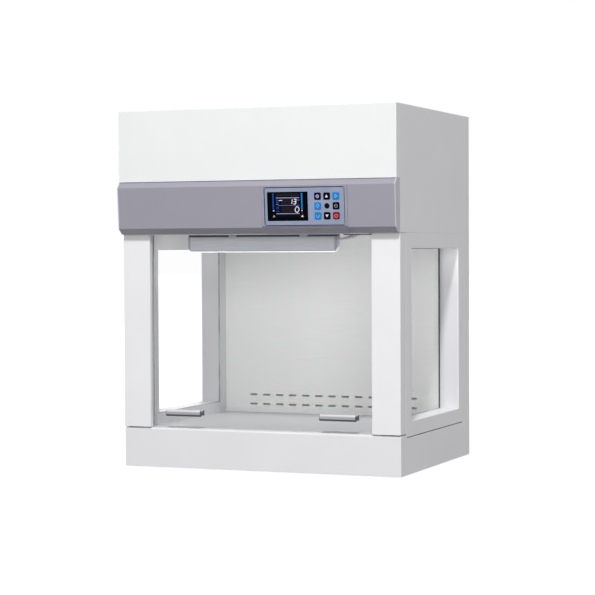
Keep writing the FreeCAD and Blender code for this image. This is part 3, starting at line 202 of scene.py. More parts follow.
class Shader:
    """A principled material with helpers for procedural detail in the row frame's coordinates."""

    def __init__(self, name, rough=0.5, metallic=0.0):
        self.material = bpy.data.materials.new(name)
        self.material.use_nodes = True
        self.tree = self.material.node_tree
        self.bsdf = self.tree.nodes["Principled BSDF"]
        self.bsdf.inputs["Roughness"].default_value = rough
        self.bsdf.inputs["Metallic"].default_value = metallic
        self.coords = self.add("ShaderNodeTexCoord").outputs["Object"]
        self.normal = None

    def add(self, kind, **values):
        node = self.tree.nodes.new(kind)
        for key, value in values.items():
            setattr(node, key, value)
        return node

    def link(self, a, b):
        self.tree.links.new(a, b)

    def noise(self, scale, detail=3.0, stretch=(1.0, 1.0, 1.0), rough=0.5):
        mapping = self.add("ShaderNodeMapping")
        mapping.inputs["Scale"].default_value = stretch
        node = self.add("ShaderNodeTexNoise")
        node.inputs["Scale"].default_value = scale
        node.inputs["Detail"].default_value = detail
        node.inputs["Roughness"].default_value = rough
        self.link(self.coords, mapping.inputs["Vector"])
        self.link(mapping.outputs[0], node.inputs["Vector"])
        return node.outputs["Fac"]

    def spread(self, value, low, high, out_low=0.0, out_high=1.0):
        node = self.add("ShaderNodeMapRange")
        for key, number in (("From Min", low), ("From Max", high), ("To Min", out_low), ("To Max", out_high)):
            node.inputs[key].default_value = number
        self.link(value, node.inputs["Value"])
        return node.outputs["Result"]

    def mix(self, factor, a, b):
        """Colour mix; a and b are sRGB colours or sockets."""
        node = self.add("ShaderNodeMix", data_type="RGBA")
        self.link(factor, node.inputs["Factor"])
        for value, socket in ((a, node.inputs[6]), (b, node.inputs[7])):
            if isinstance(value, tuple):
                socket.default_value = (*lin(value), 1.0)
            else:
                self.link(value, socket)
        return node.outputs[2]

    def bump(self, height, strength, distance):
        node = self.add("ShaderNodeBump")
        node.inputs["Strength"].default_value = strength
        node.inputs["Distance"].default_value = distance
        self.link(height, node.inputs["Height"])
        if self.normal is not None:
            self.link(self.normal, node.inputs["Normal"])
        self.normal = node.outputs[0]

    def edges(self, radius):
        """Round the shading over edges; returns 1 on an edge and 0 on a flat."""
        bevel = self.add("ShaderNodeBevel", samples=6)
        bevel.inputs["Radius"].default_value = radius
        self.normal = bevel.outputs[0]
        geometry = self.add("ShaderNodeNewGeometry")
        dot = self.add("ShaderNodeVectorMath", operation="DOT_PRODUCT")
        self.link(bevel.outputs[0], dot.inputs[0])
        self.link(geometry.outputs["Normal"], dot.inputs[1])
        return self.spread(dot.outputs["Value"], 0.8, 0.995, 1.0, 0.0)

    def done(self, colour, rough=None):
        self.link(colour, self.bsdf.inputs["Base Color"])
        if rough is not None:
            self.link(rough, self.bsdf.inputs["Roughness"])
        if self.normal is not None:
            self.link(self.normal, self.bsdf.inputs["Normal"])
        return self.material


def shade(colour, amount):
    return tuple(min(1.0, max(0.0, v * amount)) for v in colour)


def paint(name, colour, rough=0.42, grain=900.0, peel=0.12, edge=1.04, radius=0.0012):
    """Powder coat: fine orange peel, faint cloudy tone and edges slightly lighter, as wear and as a painted
    highlight.
    """
    s = Shader(name)
    on_edge = s.edges(radius)
    cloud = s.noise(7.0, 4.0)
    fine = s.noise(grain, 2.0)
    base = s.mix(s.spread(cloud, 0.3, 0.7), shade(colour, 0.988), shade(colour, 1.008))
    speck = s.mix(s.spread(fine, 0.35, 0.65, 0.0, 0.5), base, shade(colour, 0.975))
    # Lighter edges: wear and a painted highlight.
    colour_out = s.mix(on_edge, speck, shade(colour, edge))
    s.bump(fine, peel, 0.0002)
    return s.done(colour_out, s.spread(fine, 0.3, 0.7, rough - 0.05, rough + 0.07))


def shaded_lined_paint(name, colour, liner, depth, reveal):
    """Powder coat, greyer on the lining, nearer the middle than depth, and low on the rear reveal.

    The reveal's greyer tone isn't a coat of the real object: it is painted shade on the part below the shadow
    of the window head, fitted to the tone under these lamps.
    """
    material = paint(name, colour)
    tree = material.node_tree
    place = tree.nodes.new("ShaderNodeTexCoord")
    split = tree.nodes.new("ShaderNodeSeparateXYZ")
    off = tree.nodes.new("ShaderNodeMath")
    off.operation = "ABSOLUTE"
    inside = tree.nodes.new("ShaderNodeMath")
    inside.operation = "LESS_THAN"
    inside.inputs[1].default_value = depth
    mix = tree.nodes.new("ShaderNodeMix")
    mix.data_type = "RGBA"
    mix.inputs[7].default_value = (*lin(liner), 1.0)
    socket = tree.nodes["Principled BSDF"].inputs["Base Color"]
    # Mask of the reveal's painted shade: inside the outer face, at the rear, and below the head's shadow.
    product = None
    for source, (start, end) in ((off.outputs[0], REVEAL_SHADE_SIDE), (split.outputs["Y"], REVEAL_SHADE_REAR),
                                 (split.outputs["Z"], REVEAL_SHADE_HEIGHT)):
        ramp = tree.nodes.new("ShaderNodeMapRange")
        ramp.inputs[1].default_value = start
        ramp.inputs[2].default_value = end
        tree.links.new(source, ramp.inputs[0])
        if product is None:
            product = ramp.outputs[0]
            continue
        both = tree.nodes.new("ShaderNodeMath")
        both.operation = "MULTIPLY"
        tree.links.new(product, both.inputs[0])
        tree.links.new(ramp.outputs[0], both.inputs[1])
        product = both.outputs[0]
    shade_mix = tree.nodes.new("ShaderNodeMix")
    shade_mix.data_type = "RGBA"
    shade_mix.inputs[7].default_value = (*lin(reveal), 1.0)
    tree.links.new(socket.links[0].from_socket, shade_mix.inputs[6])
    tree.links.new(product, shade_mix.inputs["Factor"])
    tree.links.new(shade_mix.outputs[2], mix.inputs[6])
    tree.links.new(place.outputs["Object"], split.inputs[0])
    tree.links.new(split.outputs["X"], off.inputs[0])
    tree.links.new(off.outputs[0], inside.inputs[0])
    tree.links.new(inside.outputs[0], mix.inputs["Factor"])
    tree.links.new(mix.outputs[2], socket)
    return material


def moulded(name, colour, rough=0.5, grain=1600.0, edge=1.08, radius=0.0004, depth=0.1, sheen=0.5):
    """Moulded plastic: spark-eroded grain and edges lighter, as rubbing and as a painted highlight; sheen is
    its specular level.
    """
    s = Shader(name)
    s.bsdf.inputs["Specular IOR Level"].default_value = sheen
    on_edge = s.edges(radius)
    fine = s.noise(grain, 2.0)
    cloud = s.noise(30.0, 3.0)
    base = s.mix(s.spread(cloud, 0.3, 0.7), shade(colour, 0.97), shade(colour, 1.03))
    s.bump(fine, depth, 0.0001)
    # Lighter edges: rubbing and a painted highlight.
    colour_out = s.mix(on_edge, base, shade(colour, edge))
    return s.done(colour_out, s.spread(fine, 0.3, 0.7, rough - 0.06, rough + 0.06))


def brushed(name, colour, rough=0.34, along="x", metallic=0.9, edge_wear_and_highlight=1.06):
    """Brushed metal: long fine scratches along one axis."""
    stretch = {"x": (1.0, 60.0, 60.0), "y": (60.0, 1.0, 60.0), "z": (60.0, 60.0, 1.0)}[along]
    s = Shader(name, metallic=metallic)
    on_edge = s.edges(0.0005)
    lines = s.noise(40.0, 5.0, stretch, 0.7)
    cloud = s.noise(5.0, 3.0)
    base = s.mix(s.spread(lines, 0.3, 0.7), shade(colour, 0.95), shade(colour, 1.03))
    base = s.mix(s.spread(cloud, 0.35, 0.7, 0.0, 0.35), base, shade(colour, 0.96))
    s.bump(lines, 0.06, 0.0001)
    # Lighter edges: wear and a painted highlight.
    colour_out = s.mix(on_edge, base, shade(colour, edge_wear_and_highlight))
    return s.done(colour_out, s.spread(lines, 0.3, 0.7, rough - 0.07, rough + 0.09))


def clear_glass(name, tint, alpha):
    """Clear sheet glass with faint smears in its gloss."""
    s = Shader(name, rough=0.04)
    smear = s.noise(9.0, 5.0)
    s.bsdf.inputs["Alpha"].default_value = alpha
    s.bsdf.inputs["IOR"].default_value = 1.5
    colour = s.mix(s.spread(smear, 0.3, 0.7), tint, shade(tint, 0.96))
    s.material.surface_render_method = "BLENDED"
    return s.done(colour, s.spread(smear, 0.35, 0.75, 0.02, 0.08))


def diffuser(name, colour):
    """Frosted lamp cover with fine lengthwise flutes."""
    s = Shader(name, rough=0.38)
    flutes = s.noise(60.0, 2.0, (0.6, 14.0, 14.0))
    frost = s.noise(1500.0, 2.0)
    s.bsdf.inputs["Subsurface Weight"].default_value = 0.15
    s.bsdf.inputs["Subsurface Radius"].default_value = (0.004, 0.004, 0.004)
    base = s.mix(s.spread(flutes, 0.3, 0.7), shade(colour, 0.97), shade(colour, 1.03))
    s.bump(frost, 0.08, 0.0001)
    return s.done(base, s.spread(frost, 0.3, 0.7, 0.32, 0.46))


def glow(name, colour, strength, rough=0.4):
    """A lit display mark, or a printed mark given a painted glow: its own light is set on the shader's
    socket.
    """
    s = Shader(name)
    s.bsdf.inputs["Specular IOR Level"].default_value = 0.05
    fine = s.noise(2500.0, 2.0)
    s.bsdf.inputs["Emission Color"].default_value = (*lin(colour), 1.0)
    s.bsdf.inputs["Emission Strength"].default_value = strength
    base = s.mix(s.spread(fine, 0.3, 0.7), shade(colour, 0.9), colour)
    return s.done(base, s.spread(fine, 0.3, 0.7, rough - 0.05, rough + 0.05))


def rubber(name, colour, rough=0.7):
    s = Shader(name, rough=rough)
    fine = s.noise(700.0, 4.0)
    bloom = s.noise(25.0, 3.0)
    base = s.mix(s.spread(bloom, 0.3, 0.75), colour, shade(colour, 1.35))
    s.bump(fine, 0.25, 0.0002)
    return s.done(base, s.spread(fine, 0.3, 0.7, rough - 0.1, rough + 0.1))


def fleece(name, colour):
    """Filter medium: fibrous paper."""
    s = Shader(name, rough=0.9)
    fibre = s.noise(500.0, 6.0, (1.0, 6.0, 1.0), 0.8)
    base = s.mix(s.spread(fibre, 0.3, 0.7), shade(colour, 0.9), shade(colour, 1.04))
    s.bump(fibre, 0.4, 0.0003)
    return s.done(base)


MATERIALS = {
    "cabinet_paint": paint("cabinet_paint", (0.965, 0.962, 0.972)),
    "panel_white": paint("panel_white", (0.955, 0.96, 0.96), rough=0.36, peel=0.08),
    "fascia_grey": paint("fascia_grey", (0.617, 0.609, 0.655), rough=0.4, edge=1.1),
    "cap_grey": moulded("cap_grey", (0.79, 0.788, 0.83), rough=0.5),
    "surround_grey": moulded("surround_grey", (0.61, 0.605, 0.652), rough=0.42),
    "bezel_blue_grey": moulded("bezel_blue_grey", (0.573, 0.612, 0.71), rough=0.4, depth=0.05),
    "display": moulded("display", (0.002, 0.003, 0.015), rough=0.35, depth=0.01, sheen=0.03),
    "receiver": moulded("receiver", (0.06, 0.015, 0.015), rough=0.35, depth=0.01, sheen=0.05),
    "key_navy": moulded("key_navy", (0.07, 0.03, 0.23), rough=0.55, sheen=0.05),
    "key_black": moulded("key_black", (0.01, 0.01, 0.035), rough=0.55, sheen=0.04),
    "key_blue": moulded("key_blue", (0.11, 0.51, 0.82), rough=0.5, sheen=0.15),
    "key_red": moulded("key_red", (0.50, 0.05, 0.10), rough=0.5, sheen=0.2),
    "board": moulded("board", (0.07, 0.28, 0.15), rough=0.45, grain=400.0),
    "seal": rubber("seal", (0.60, 0.61, 0.61)),
    "clear_glass": clear_glass("clear_glass", (0.88, 0.92, 0.91), 0.012),
    "stainless": brushed("stainless", (0.925, 0.925, 0.922), rough=0.5, metallic=0.1),
    # Window panel paint: greyer on the lining, with painted shade low on the rear reveal.
    "frame_paint_with_painted_shade": shaded_lined_paint("frame_paint_with_painted_shade", (0.965, 0.962, 0.972), (0.83, 0.83, 0.84), 0.2987,
                               (0.85, 0.848, 0.86)),
    "handle_face_shade_grey": brushed("handle_face_shade_grey", (0.66, 0.66, 0.68), rough=0.45, metallic=0.2),
    "handle_shade_dark": moulded("handle_shade_dark", (0.40, 0.40, 0.42), rough=0.6, sheen=0.2),
    "seam_highlight_white": paint("seam_highlight_white", (1.0, 1.0, 1.0)),
    "screen_wire": brushed("screen_wire", (0.72, 0.72, 0.72), metallic=0.2),
    "worktop_steel": brushed("worktop_steel", (0.79, 0.79, 0.80), rough=0.5, metallic=0.1),
    "apron_paint": paint("apron_paint", (0.935, 0.932, 0.942)),
    "lamp_cover": diffuser("lamp_cover", (0.935, 0.945, 0.98)),
    "lamp_cap": moulded("lamp_cap", (0.76, 0.765, 0.80), rough=0.5),
    "lamp_tube": diffuser("lamp_tube", (0.95, 0.96, 0.97)),
    "clip_steel": moulded("clip_steel", (0.92, 0.93, 0.96), rough=0.5),
    "lead_sheath": rubber("lead_sheath", (0.76, 0.76, 0.78), rough=0.55),
    "handle_aluminium": brushed("handle_aluminium", (0.86, 0.86, 0.87), rough=0.42, metallic=0.2),
    "track_aluminium": brushed("track_aluminium", (0.90, 0.90, 0.91), rough=0.4, along="z"),
    "bracket_steel": brushed("bracket_steel", (0.68, 0.68, 0.70), along="z"),
    "sheave_plastic": moulded("sheave_plastic", (0.90, 0.89, 0.85), rough=0.45),
    "cable_steel": brushed("cable_steel", (0.60, 0.60, 0.62), along="z"),
    "weight_steel": brushed("weight_steel", (0.40, 0.40, 0.42), rough=0.5, along="z"),
    "filter": fleece("filter", (0.93, 0.93, 0.90)),
    "deck_steel": brushed("deck_steel", (0.74, 0.75, 0.77), rough=0.45, metallic=0.8),
    "fan_plastic": moulded("fan_plastic", (0.12, 0.12, 0.13), rough=0.5),
    "motor": paint("motor", (0.20, 0.21, 0.23), rough=0.45),
    "screw_steel": brushed("screw_steel", (0.78, 0.78, 0.80)),
    "inlet_plastic": moulded("inlet_plastic", (0.05, 0.05, 0.055), rough=0.5),
    "pad_rubber": rubber("pad_rubber", (0.10, 0.10, 0.10)),
    # Painted shade of the recess round the bezel.
    "seam_gap_shade": moulded("seam_gap_shade", (0.17, 0.18, 0.28), rough=0.6, sheen=0.2),
    "seam_grey": moulded("seam_grey", (0.45, 0.45, 0.50), rough=0.6, sheen=0.2),
    "gap_shade_grey": moulded("gap_shade_grey", (0.52, 0.52, 0.57), rough=0.8, sheen=0.1),
    "gap_shade_black": moulded("gap_shade_black", (0.18, 0.18, 0.19), rough=0.8, sheen=0.1),
    "lip_highlight_grey": paint("lip_highlight_grey", (0.83, 0.82, 0.85)),
    "bevel_shade_grey": paint("bevel_shade_grey", (0.42, 0.40, 0.45)),
    "glass_edge": moulded("glass_edge", (0.30, 0.32, 0.31), rough=0.5, sheen=0.2),
    # Printed key marks with a painted glow, though they are no lamp; the grey one also marks the lit display.
    "mark_white_painted_glow": glow("mark_white_painted_glow", (0.80, 0.82, 0.86), 0.35),
    "mark_grey_lit_and_painted_glow": glow("mark_grey_lit_and_painted_glow", (0.60, 0.62, 0.66), 0.2),
    "mark_pink_painted_glow": glow("mark_pink_painted_glow", (0.90, 0.52, 0.55), 0.25),
    "mark_sky_painted_glow": glow("mark_sky_painted_glow", (0.52, 0.76, 0.96), 0.3),
    "lit_white": glow("lit_white", (0.86, 0.87, 0.90), 0.4),
    "lit_line": glow("lit_line", (0.58, 0.60, 0.70), 0.3),
    "lit_dim": glow("lit_dim", (0.38, 0.40, 0.56), 0.3),
    "lit_blue": glow("lit_blue", (0.11, 0.29, 0.62), 0.3),
    "lit_cyan": glow("lit_cyan", (0.13, 0.49, 0.78), 0.35),
    "lit_red": glow("lit_red", (0.55, 0.10, 0.12), 0.3),
    "lit_navy": glow("lit_navy", (0.01, 0.015, 0.12), 0.2),
    "lit_umber": glow("lit_umber", (0.12, 0.09, 0.13), 0.1),
}


SLOTS = {row["node"]: row["material_slot"] for row in frame["record"]["subparts"]}


# Finishes in place of a slot's material; the window panels' one holds painted shade.
FINISH_AND_PAINTED_SHADE = {"worktop": "worktop_steel", "base_apron": "apron_paint", "window_frame_left": "frame_paint_with_painted_shade",
          "window_frame_right": "frame_paint_with_painted_shade"}


def dress_nodes():
    """Give each CAD node the material of its slot, or the finish named above; the window panels' paint holds
    painted shade on the rear reveal.
    """
    for name, obj in nodes.items():
        obj.data.materials.clear()
        obj.data.materials.append(MATERIALS[FINISH_AND_PAINTED_SHADE.get(name, SLOTS[name])])


# Mesh pieces

def make_piece(name, mesh, body, material):
    obj = bpy.data.objects.new(name, mesh)
    bpy.context.scene.collection.objects.link(obj)
    obj.data.materials.append(MATERIALS[material])
    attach(obj, body)
    return obj


def face_point(x, y, z):
    """A point of the leaning control face: x along it, y behind it, z up it from its middle."""
    return Vector((x, FACE_Y + y * math.cos(TILT) - z * math.sin(TILT),
                   FACE_Z + y * math.sin(TILT) + z * math.cos(TILT)))


def prisms(name, outlines, front, back):
    """One mesh of flat plates in the control face, each from an outline of (x, z) points."""
    bm = bmesh.new()
    for outline in outlines:
        near = [bm.verts.new(face_point(x, front, z)) for x, z in outline]
        far = [bm.verts.new(face_point(x, back, z)) for x, z in outline]
        bm.faces.new(near)
        bm.faces.new(far[::-1])
        count = len(outline)
        for i in range(count):
            bm.faces.new((near[i], far[i], far[(i + 1) % count], near[(i + 1) % count]))
    bmesh.ops.recalc_face_normals(bm, faces=bm.faces[:])
    mesh = bpy.data.meshes.new(name)
    bm.to_mesh(mesh)
    bm.free()
    return mesh


def bar(x, z, width, height, lean=0.0):
    w, h = width / 2, height / 2
    return [(x - w - lean * h, z - h), (x + w - lean * h, z - h),
            (x + w + lean * h, z + h), (x - w + lean * h, z + h)]


def disc(x, z, radius, count=24):
    return [(x + radius * math.cos(2 * math.pi * i / count), z + radius * math.sin(2 * math.pi * i / count))
            for i in range(count)]


def arc(x, z, radius, width, start, end, count=16):
    """A curved stroke, as short plates."""
    plates = []
    for i in range(count):
        a = math.radians(start + (end - start) * i / count)
        b = math.radians(start + (end - start) * (i + 1) / count)
        inner, outer = radius - width / 2, radius + width / 2
        plates.append([(x + inner * math.cos(a), z + inner * math.sin(a)),
                       (x + outer * math.cos(a), z + outer * math.sin(a)),
                       (x + outer * math.cos(b), z + outer * math.sin(b)),
                       (x + inner * math.cos(b), z + inner * math.sin(b))])
    return plates


def stroke(points, width):
    """A line of straight strokes, as plates."""
    plates = []
    for (a, b), (c, d) in zip(points, points[1:]):
        length = math.hypot(c - a, d - b)
        nx, nz = -(d - b) / length * width / 2, (c - a) / length * width / 2
        plates.append([(a + nx, b + nz), (c + nx, d + nz), (c - nx, d - nz), (a - nx, b - nz)])
    return plates


def rounded(width, height, corner, x=0.0, z=0.0, steps=6):
    points = []
    for quarter, (sx, sz) in enumerate(((1, 1), (-1, 1), (-1, -1), (1, -1))):
        for step in range(steps + 1):
            a = math.radians(90 * (quarter + step / steps))
            points.append((x + sx * (width / 2 - corner) + corner * math.cos(a),
                           z + sz * (height / 2 - corner) + corner * math.sin(a)))
    return points


def lofted(name, sections):
    """Skin over outlines of equal count, each (points, y); both ends are closed."""
    bm = bmesh.new()
    rings = [[bm.verts.new(face_point(x, y, z)) for x, z in points] for points, y in sections]
    count = len(rings[0])
    for a, b in zip(rings, rings[1:]):
        for i in range(count):
            bm.faces.new((a[i], b[i], b[(i + 1) % count], a[(i + 1) % count]))
    bm.faces.new(rings[0])
    bm.faces.new(rings[-1][::-1])
    bmesh.ops.recalc_face_normals(bm, faces=bm.faces[:])
    mesh = bpy.data.meshes.new(name)
    bm.to_mesh(mesh)
    bm.free()
    return mesh


def smooth(obj, angle=35.0):
    for polygon in obj.data.polygons:
        polygon.use_smooth = True
    obj.data.set_sharp_from_angle(angle=math.radians(angle))


def key_piece(node, x, z, material):
    """A moulded key: crowned cap, flange and stem."""
    sections = []
    for inset, y in ((0.9, -0.70), (0.35, -0.62), (0.1, -0.42), (0.0, -0.1), (0.0, 3.8)):
        size = 0.016 - 2 * inset / 1000
        sections.append((rounded(size, size, max(0.0025 - inset / 2000, 0.001), x, z), y / 1000))
    wide = rounded(0.0184, 0.0184, 0.0025, x, z)
    sections += [(wide, 0.0038), (wide, 0.0048)]
    stem = rounded(0.004, 0.004, 0.001, x, z)
    sections += [(stem, 0.0048), (stem, 0.0064)]
    obj = make_piece(node + "_cap", lofted(node + "_cap", sections), node + "_cap", material)
    smooth(obj)
    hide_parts(node)
    return obj


def icon(node, outlines, material):
    mesh = prisms(node + "_mark", outlines, -0.00074, -0.0006)
    return make_piece(node + "_mark", mesh, node + "_cap", material)


def make_keys():
    left, mid, right = KEY_X - KEY_PITCH, KEY_X, KEY_X + KEY_PITCH
    top, low = KEY_PITCH, -KEY_PITCH
    mm = 0.001
    key_piece("key_timer", left, top, "key_navy")
    icon("key_timer", arc(left, top, 3.3 * mm, 1.1 * mm, 0, 360, 24)
         + stroke([(left, top + 2.0 * mm), (left, top), (left + 1.5 * mm, top - 0.6 * mm)], 0.8 * mm),
         "mark_white_painted_glow")
    key_piece("key_up", mid, top, "key_black")
    icon("key_up", [[(mid - 3.8 * mm, top - 2.8 * mm), (mid + 3.8 * mm, top - 2.8 * mm),
                     (mid, top + 3.8 * mm)]], "mark_white_painted_glow")
    key_piece("key_fan", right, top, "key_blue")
    blades = []
    for angle in (90, 210, 330):
        a, b = math.radians(angle), math.radians(angle + 62)
        blades.append([(right + 0.8 * mm * math.cos(a), top + 0.8 * mm * math.sin(a)),
                       (right + 4.6 * mm * math.cos(a), top + 4.6 * mm * math.sin(a)),
                       (right + 4.4 * mm * math.cos(b), top + 4.4 * mm * math.sin(b))])
    icon("key_fan", blades, "mark_sky_painted_glow")
    key_piece("key_light", left, 0, "key_blue")
    icon("key_light", arc(left, 1.2 * mm, 3.0 * mm, 1.0 * mm, -55, 235, 20)
         + [bar(left, -2.4 * mm, 3.0 * mm, 1.2 * mm), bar(left, -4.0 * mm, 2.2 * mm, 0.9 * mm)], "mark_sky_painted_glow")
    key_piece("key_mode", right, 0, "key_black")
    icon("key_mode", arc(right, 0, 3.7 * mm, 1.0 * mm, 0, 360, 24)
         + [bar(right, 0, 3.4 * mm, 0.9 * mm)], "mark_grey_lit_and_painted_glow")
    key_piece("key_socket", left, low, "key_blue")
    icon("key_socket", arc(left, low + 0.4 * mm, 3.8 * mm, 1.0 * mm, 180, 360, 16)
         + [bar(left - 3.8 * mm, low + 1.5 * mm, 1.0 * mm, 2.2 * mm),
            bar(left + 3.8 * mm, low + 1.5 * mm, 1.0 * mm, 2.2 * mm)],
         "mark_sky_painted_glow")
    key_piece("key_down", mid, low, "key_black")
    icon("key_down", [[(mid - 3.8 * mm, low + 2.8 * mm), (mid, low - 3.8 * mm),
                       (mid + 3.8 * mm, low + 2.8 * mm)]], "mark_white_painted_glow")
    key_piece("key_power", right, low, "key_red")
    icon("key_power", arc(right, low - 0.2 * mm, 3.7 * mm, 1.3 * mm, 125, 415, 22)
         + [bar(right, low + 2.6 * mm, 1.3 * mm, 4.0 * mm)], "mark_pink_painted_glow")


SEGMENTS = {"0": "abcdef", "1": "bc", "3": "abgcd"}


def digit(value, x, z, height, width, weight, lean=0.12):
    """A leaning seven-segment digit, as plates."""
    half = height / 2
    w, quarter = width / 2, height / 4
    places = {"a": (0, half, True), "d": (0, -half, True), "g": (0, 0, True), "b": (w, quarter, False),
              "c": (w, -quarter, False), "e": (-w, -quarter, False), "f": (-w, quarter, False)}
    plates = []
    for name in SEGMENTS[value]:
        dx, dz, level = places[name]
        if level:
            plates.append(bar(x + dx + lean * dz, z + dz, width + weight * 0.2, weight))
        else:
            plates.append(bar(x + dx + lean * dz, z + dz, weight, half * 1.02, lean))
    return plates


def zero(x, z, width, height, weight):
    """A leaning, cornered nought."""
    w, h = width / 2, height / 2
    points = [(x + u * w + 0.08 * v * h, z + v * h)
              for u, v in ((-0.35, 1), (0.35, 1), (1, 0.35), (1, -0.35),
                           (0.35, -1), (-0.35, -1), (-1, -0.35), (-1, 0.35))]
    return stroke([*points, points[0]], weight)


def make_display():
    """What the lit display shows: a framed field, two level bars, two readings and small marks."""
    mm = 0.001

    def at(u, v):
        return DISPLAY_X + u * mm, v * mm

    def bars(rows):
        return [bar(*at(u, v), w * mm, h * mm) for u, v, w, h in rows]

    groups = {
        "lit_navy": (0.62, bars([(0, 3.5, 60, 53)])),
        "lit_umber": (0.58, bars([(0, 26.5, 57, 6.5), (7, 11.2, 43, 13.6), (7, -7.5, 43, 13.6)])),
        "lit_line": (0.54, bars([(0.5, 19.8, 58, 1.6), (0.8, -16.6, 58, 1.5)])),
        "lit_dim": (0.54, bars([(3.5, 2.3, 52, 1.3)])),
        "lit_blue": (0.54, bars([(-35.5, 28.5 - 4.1 * i, 3.8, 3.2) for i in range(9)])
                     + bars([(-25, 14.2, 5.8, 3.0), (-25, 9.8, 5.8, 2.4), (-24.5, -11.0, 7.5, 1.2)])
                     + arc(*at(-24.8, -3.6), 2.6 * mm, 1.2 * mm, 0, 360, 16)),
        "lit_cyan": (0.54, bars([(35.5, 28.5 - 4.1 * i, 3.8, 3.2) for i in range(9)])),
        "lit_red": (0.54, bars([(35.8, -14.6, 2.6, 2.4)])),
        "lit_white": (0.5, bars([(-17, 13.8, 8.0, 1.5), (-34.8, -9.6, 2.6, 2.4), (35.4, -9.6, 2.6, 2.4)])
                      + digit("1", *at(8.5, 10.8), 10.0 * mm, 6.0 * mm, 1.6 * mm)
                      + digit("3", *at(18.5, 10.8), 11.0 * mm, 5.0 * mm, 1.8 * mm)
                      + zero(*at(23.5, -7.4), 9.6 * mm, 12.6 * mm, 1.7 * mm)
                      + [[at(33.0, -24.5), at(39.0, -24.5), at(36.2, -19.6)]]),
        "mark_grey_lit_and_painted_glow": (0.5, bars([(27.5, 14.2, 4.2, 0.9), (-25.2, 5.0, 6.0, 1.2)])
                      + [[at(-37.2, -24.5), at(-31.0, -24.5), at(-34.6, -18.8)]]),
    }
    for name, (front, outlines) in groups.items():
        mesh = prisms("display_" + name, outlines, front * mm, 0.72 * mm)
        make_piece("display_" + name, mesh, "cabinet", name)


def make_receiver():
    """Domed dark lens of the receiver."""
    sections = []
    for radius, y in ((2.0, 0.2), (4.2, 0.21), (5.6, 0.26), (6.2, 0.36), (6.45, 0.55), (6.45, 2.2)):
        sections.append((disc(KEY_X, 0.0, radius / 1000, 40), y / 1000))
    obj = make_piece("receiver_lens", lofted("receiver_lens", sections), "cabinet", "receiver")
    smooth(obj)
    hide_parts("receiver_window")


def lathe(bm, centre, axis, profile, count=24):
    """Turn a profile of (radius, distance along the axis) points about an axis."""
    axis = Vector(axis).normalized()
    first = axis.orthogonal().normalized()
    second = axis.cross(first)
    rings = []
    for radius, along in profile:
        ring = []
        for i in range(count):
            a = 2 * math.pi * i / count
            ring.append(bm.verts.new(Vector(centre) + axis * along + first * radius * math.cos(a)
                                     + second * radius * math.sin(a)))
        rings.append(ring)
    for a, b in zip(rings, rings[1:]):
        for i in range(count):
            bm.faces.new((a[i], b[i], b[(i + 1) % count], a[(i + 1) % count]))
    bm.faces.new(rings[0])
    bm.faces.new(rings[-1][::-1])


def finish_mesh(name, bm):
    bmesh.ops.recalc_face_normals(bm, faces=bm.faces[:])
    mesh = bpy.data.meshes.new(name)
    bm.to_mesh(mesh)
    bm.free()
    return mesh


def ring_plates(width, height, edge, x=0.0, z=0.0):
    """The four sides of a rectangular frame, as outlines."""
    w, h = width / 2, height / 2
    return [bar(x, z + h - edge / 2, width, edge), bar(x, z - h + edge / 2, width, edge),
            bar(x - w + edge / 2, z, edge, height - 2 * edge),
            bar(x + w - edge / 2, z, edge, height - 2 * edge)]


def make_panel_borders():
    """Dark border of the control panel and a dark strip over its surround's foot, both painted shade, and the
    seams where its surround meets the band.
    """
    mm = 0.001
    # Painted shade: a dark border in the recess round the bezel.
    outlines = ring_plates(199.1 * mm, 89.1 * mm, 1.9 * mm, BEZEL_X)
    make_piece("bezel_gap_shade", prisms("bezel_gap_shade", outlines, 0.28 * mm, 0.58 * mm), "cabinet", "seam_gap_shade")
    seams = [bar(BEZEL_X + side * (PLATE_REACH + 0.35 * mm), 0.5 * mm, 0.7 * mm, 90.0 * mm)
             for side in (-1, 1)]
    make_piece("surround_seams", prisms("surround_seams", seams, -0.12 * mm, 0.2 * mm),
               "cabinet", "seam_grey")
    # Painted shade: a dark strip over the surround's foot, toned like the band's shaded lower bevel.
    foot = [bar(BEZEL_X, -46.5 * mm, 2 * PLATE_REACH - 0.4 * mm, 3.4 * mm)]
    make_piece("surround_foot_shade", prisms("surround_foot_shade", foot, -1.08 * mm, -0.9 * mm), "cabinet", "bevel_shade_grey")


def blocks(name, boxes):
    """One mesh of upright blocks, each (x0, x1, y0, y1, z0, z1)."""
    bm = bmesh.new()
    for x0, x1, y0, y1, z0, z1 in boxes:
        middle = Matrix.Translation(((x0 + x1) / 2, (y0 + y1) / 2, (z0 + z1) / 2))
        bmesh.ops.create_cube(bm, size=1.0, matrix=middle @ Matrix.Diagonal((x1 - x0, y1 - y0, z1 - z0, 1.0)))
    return finish_mesh(name, bm)


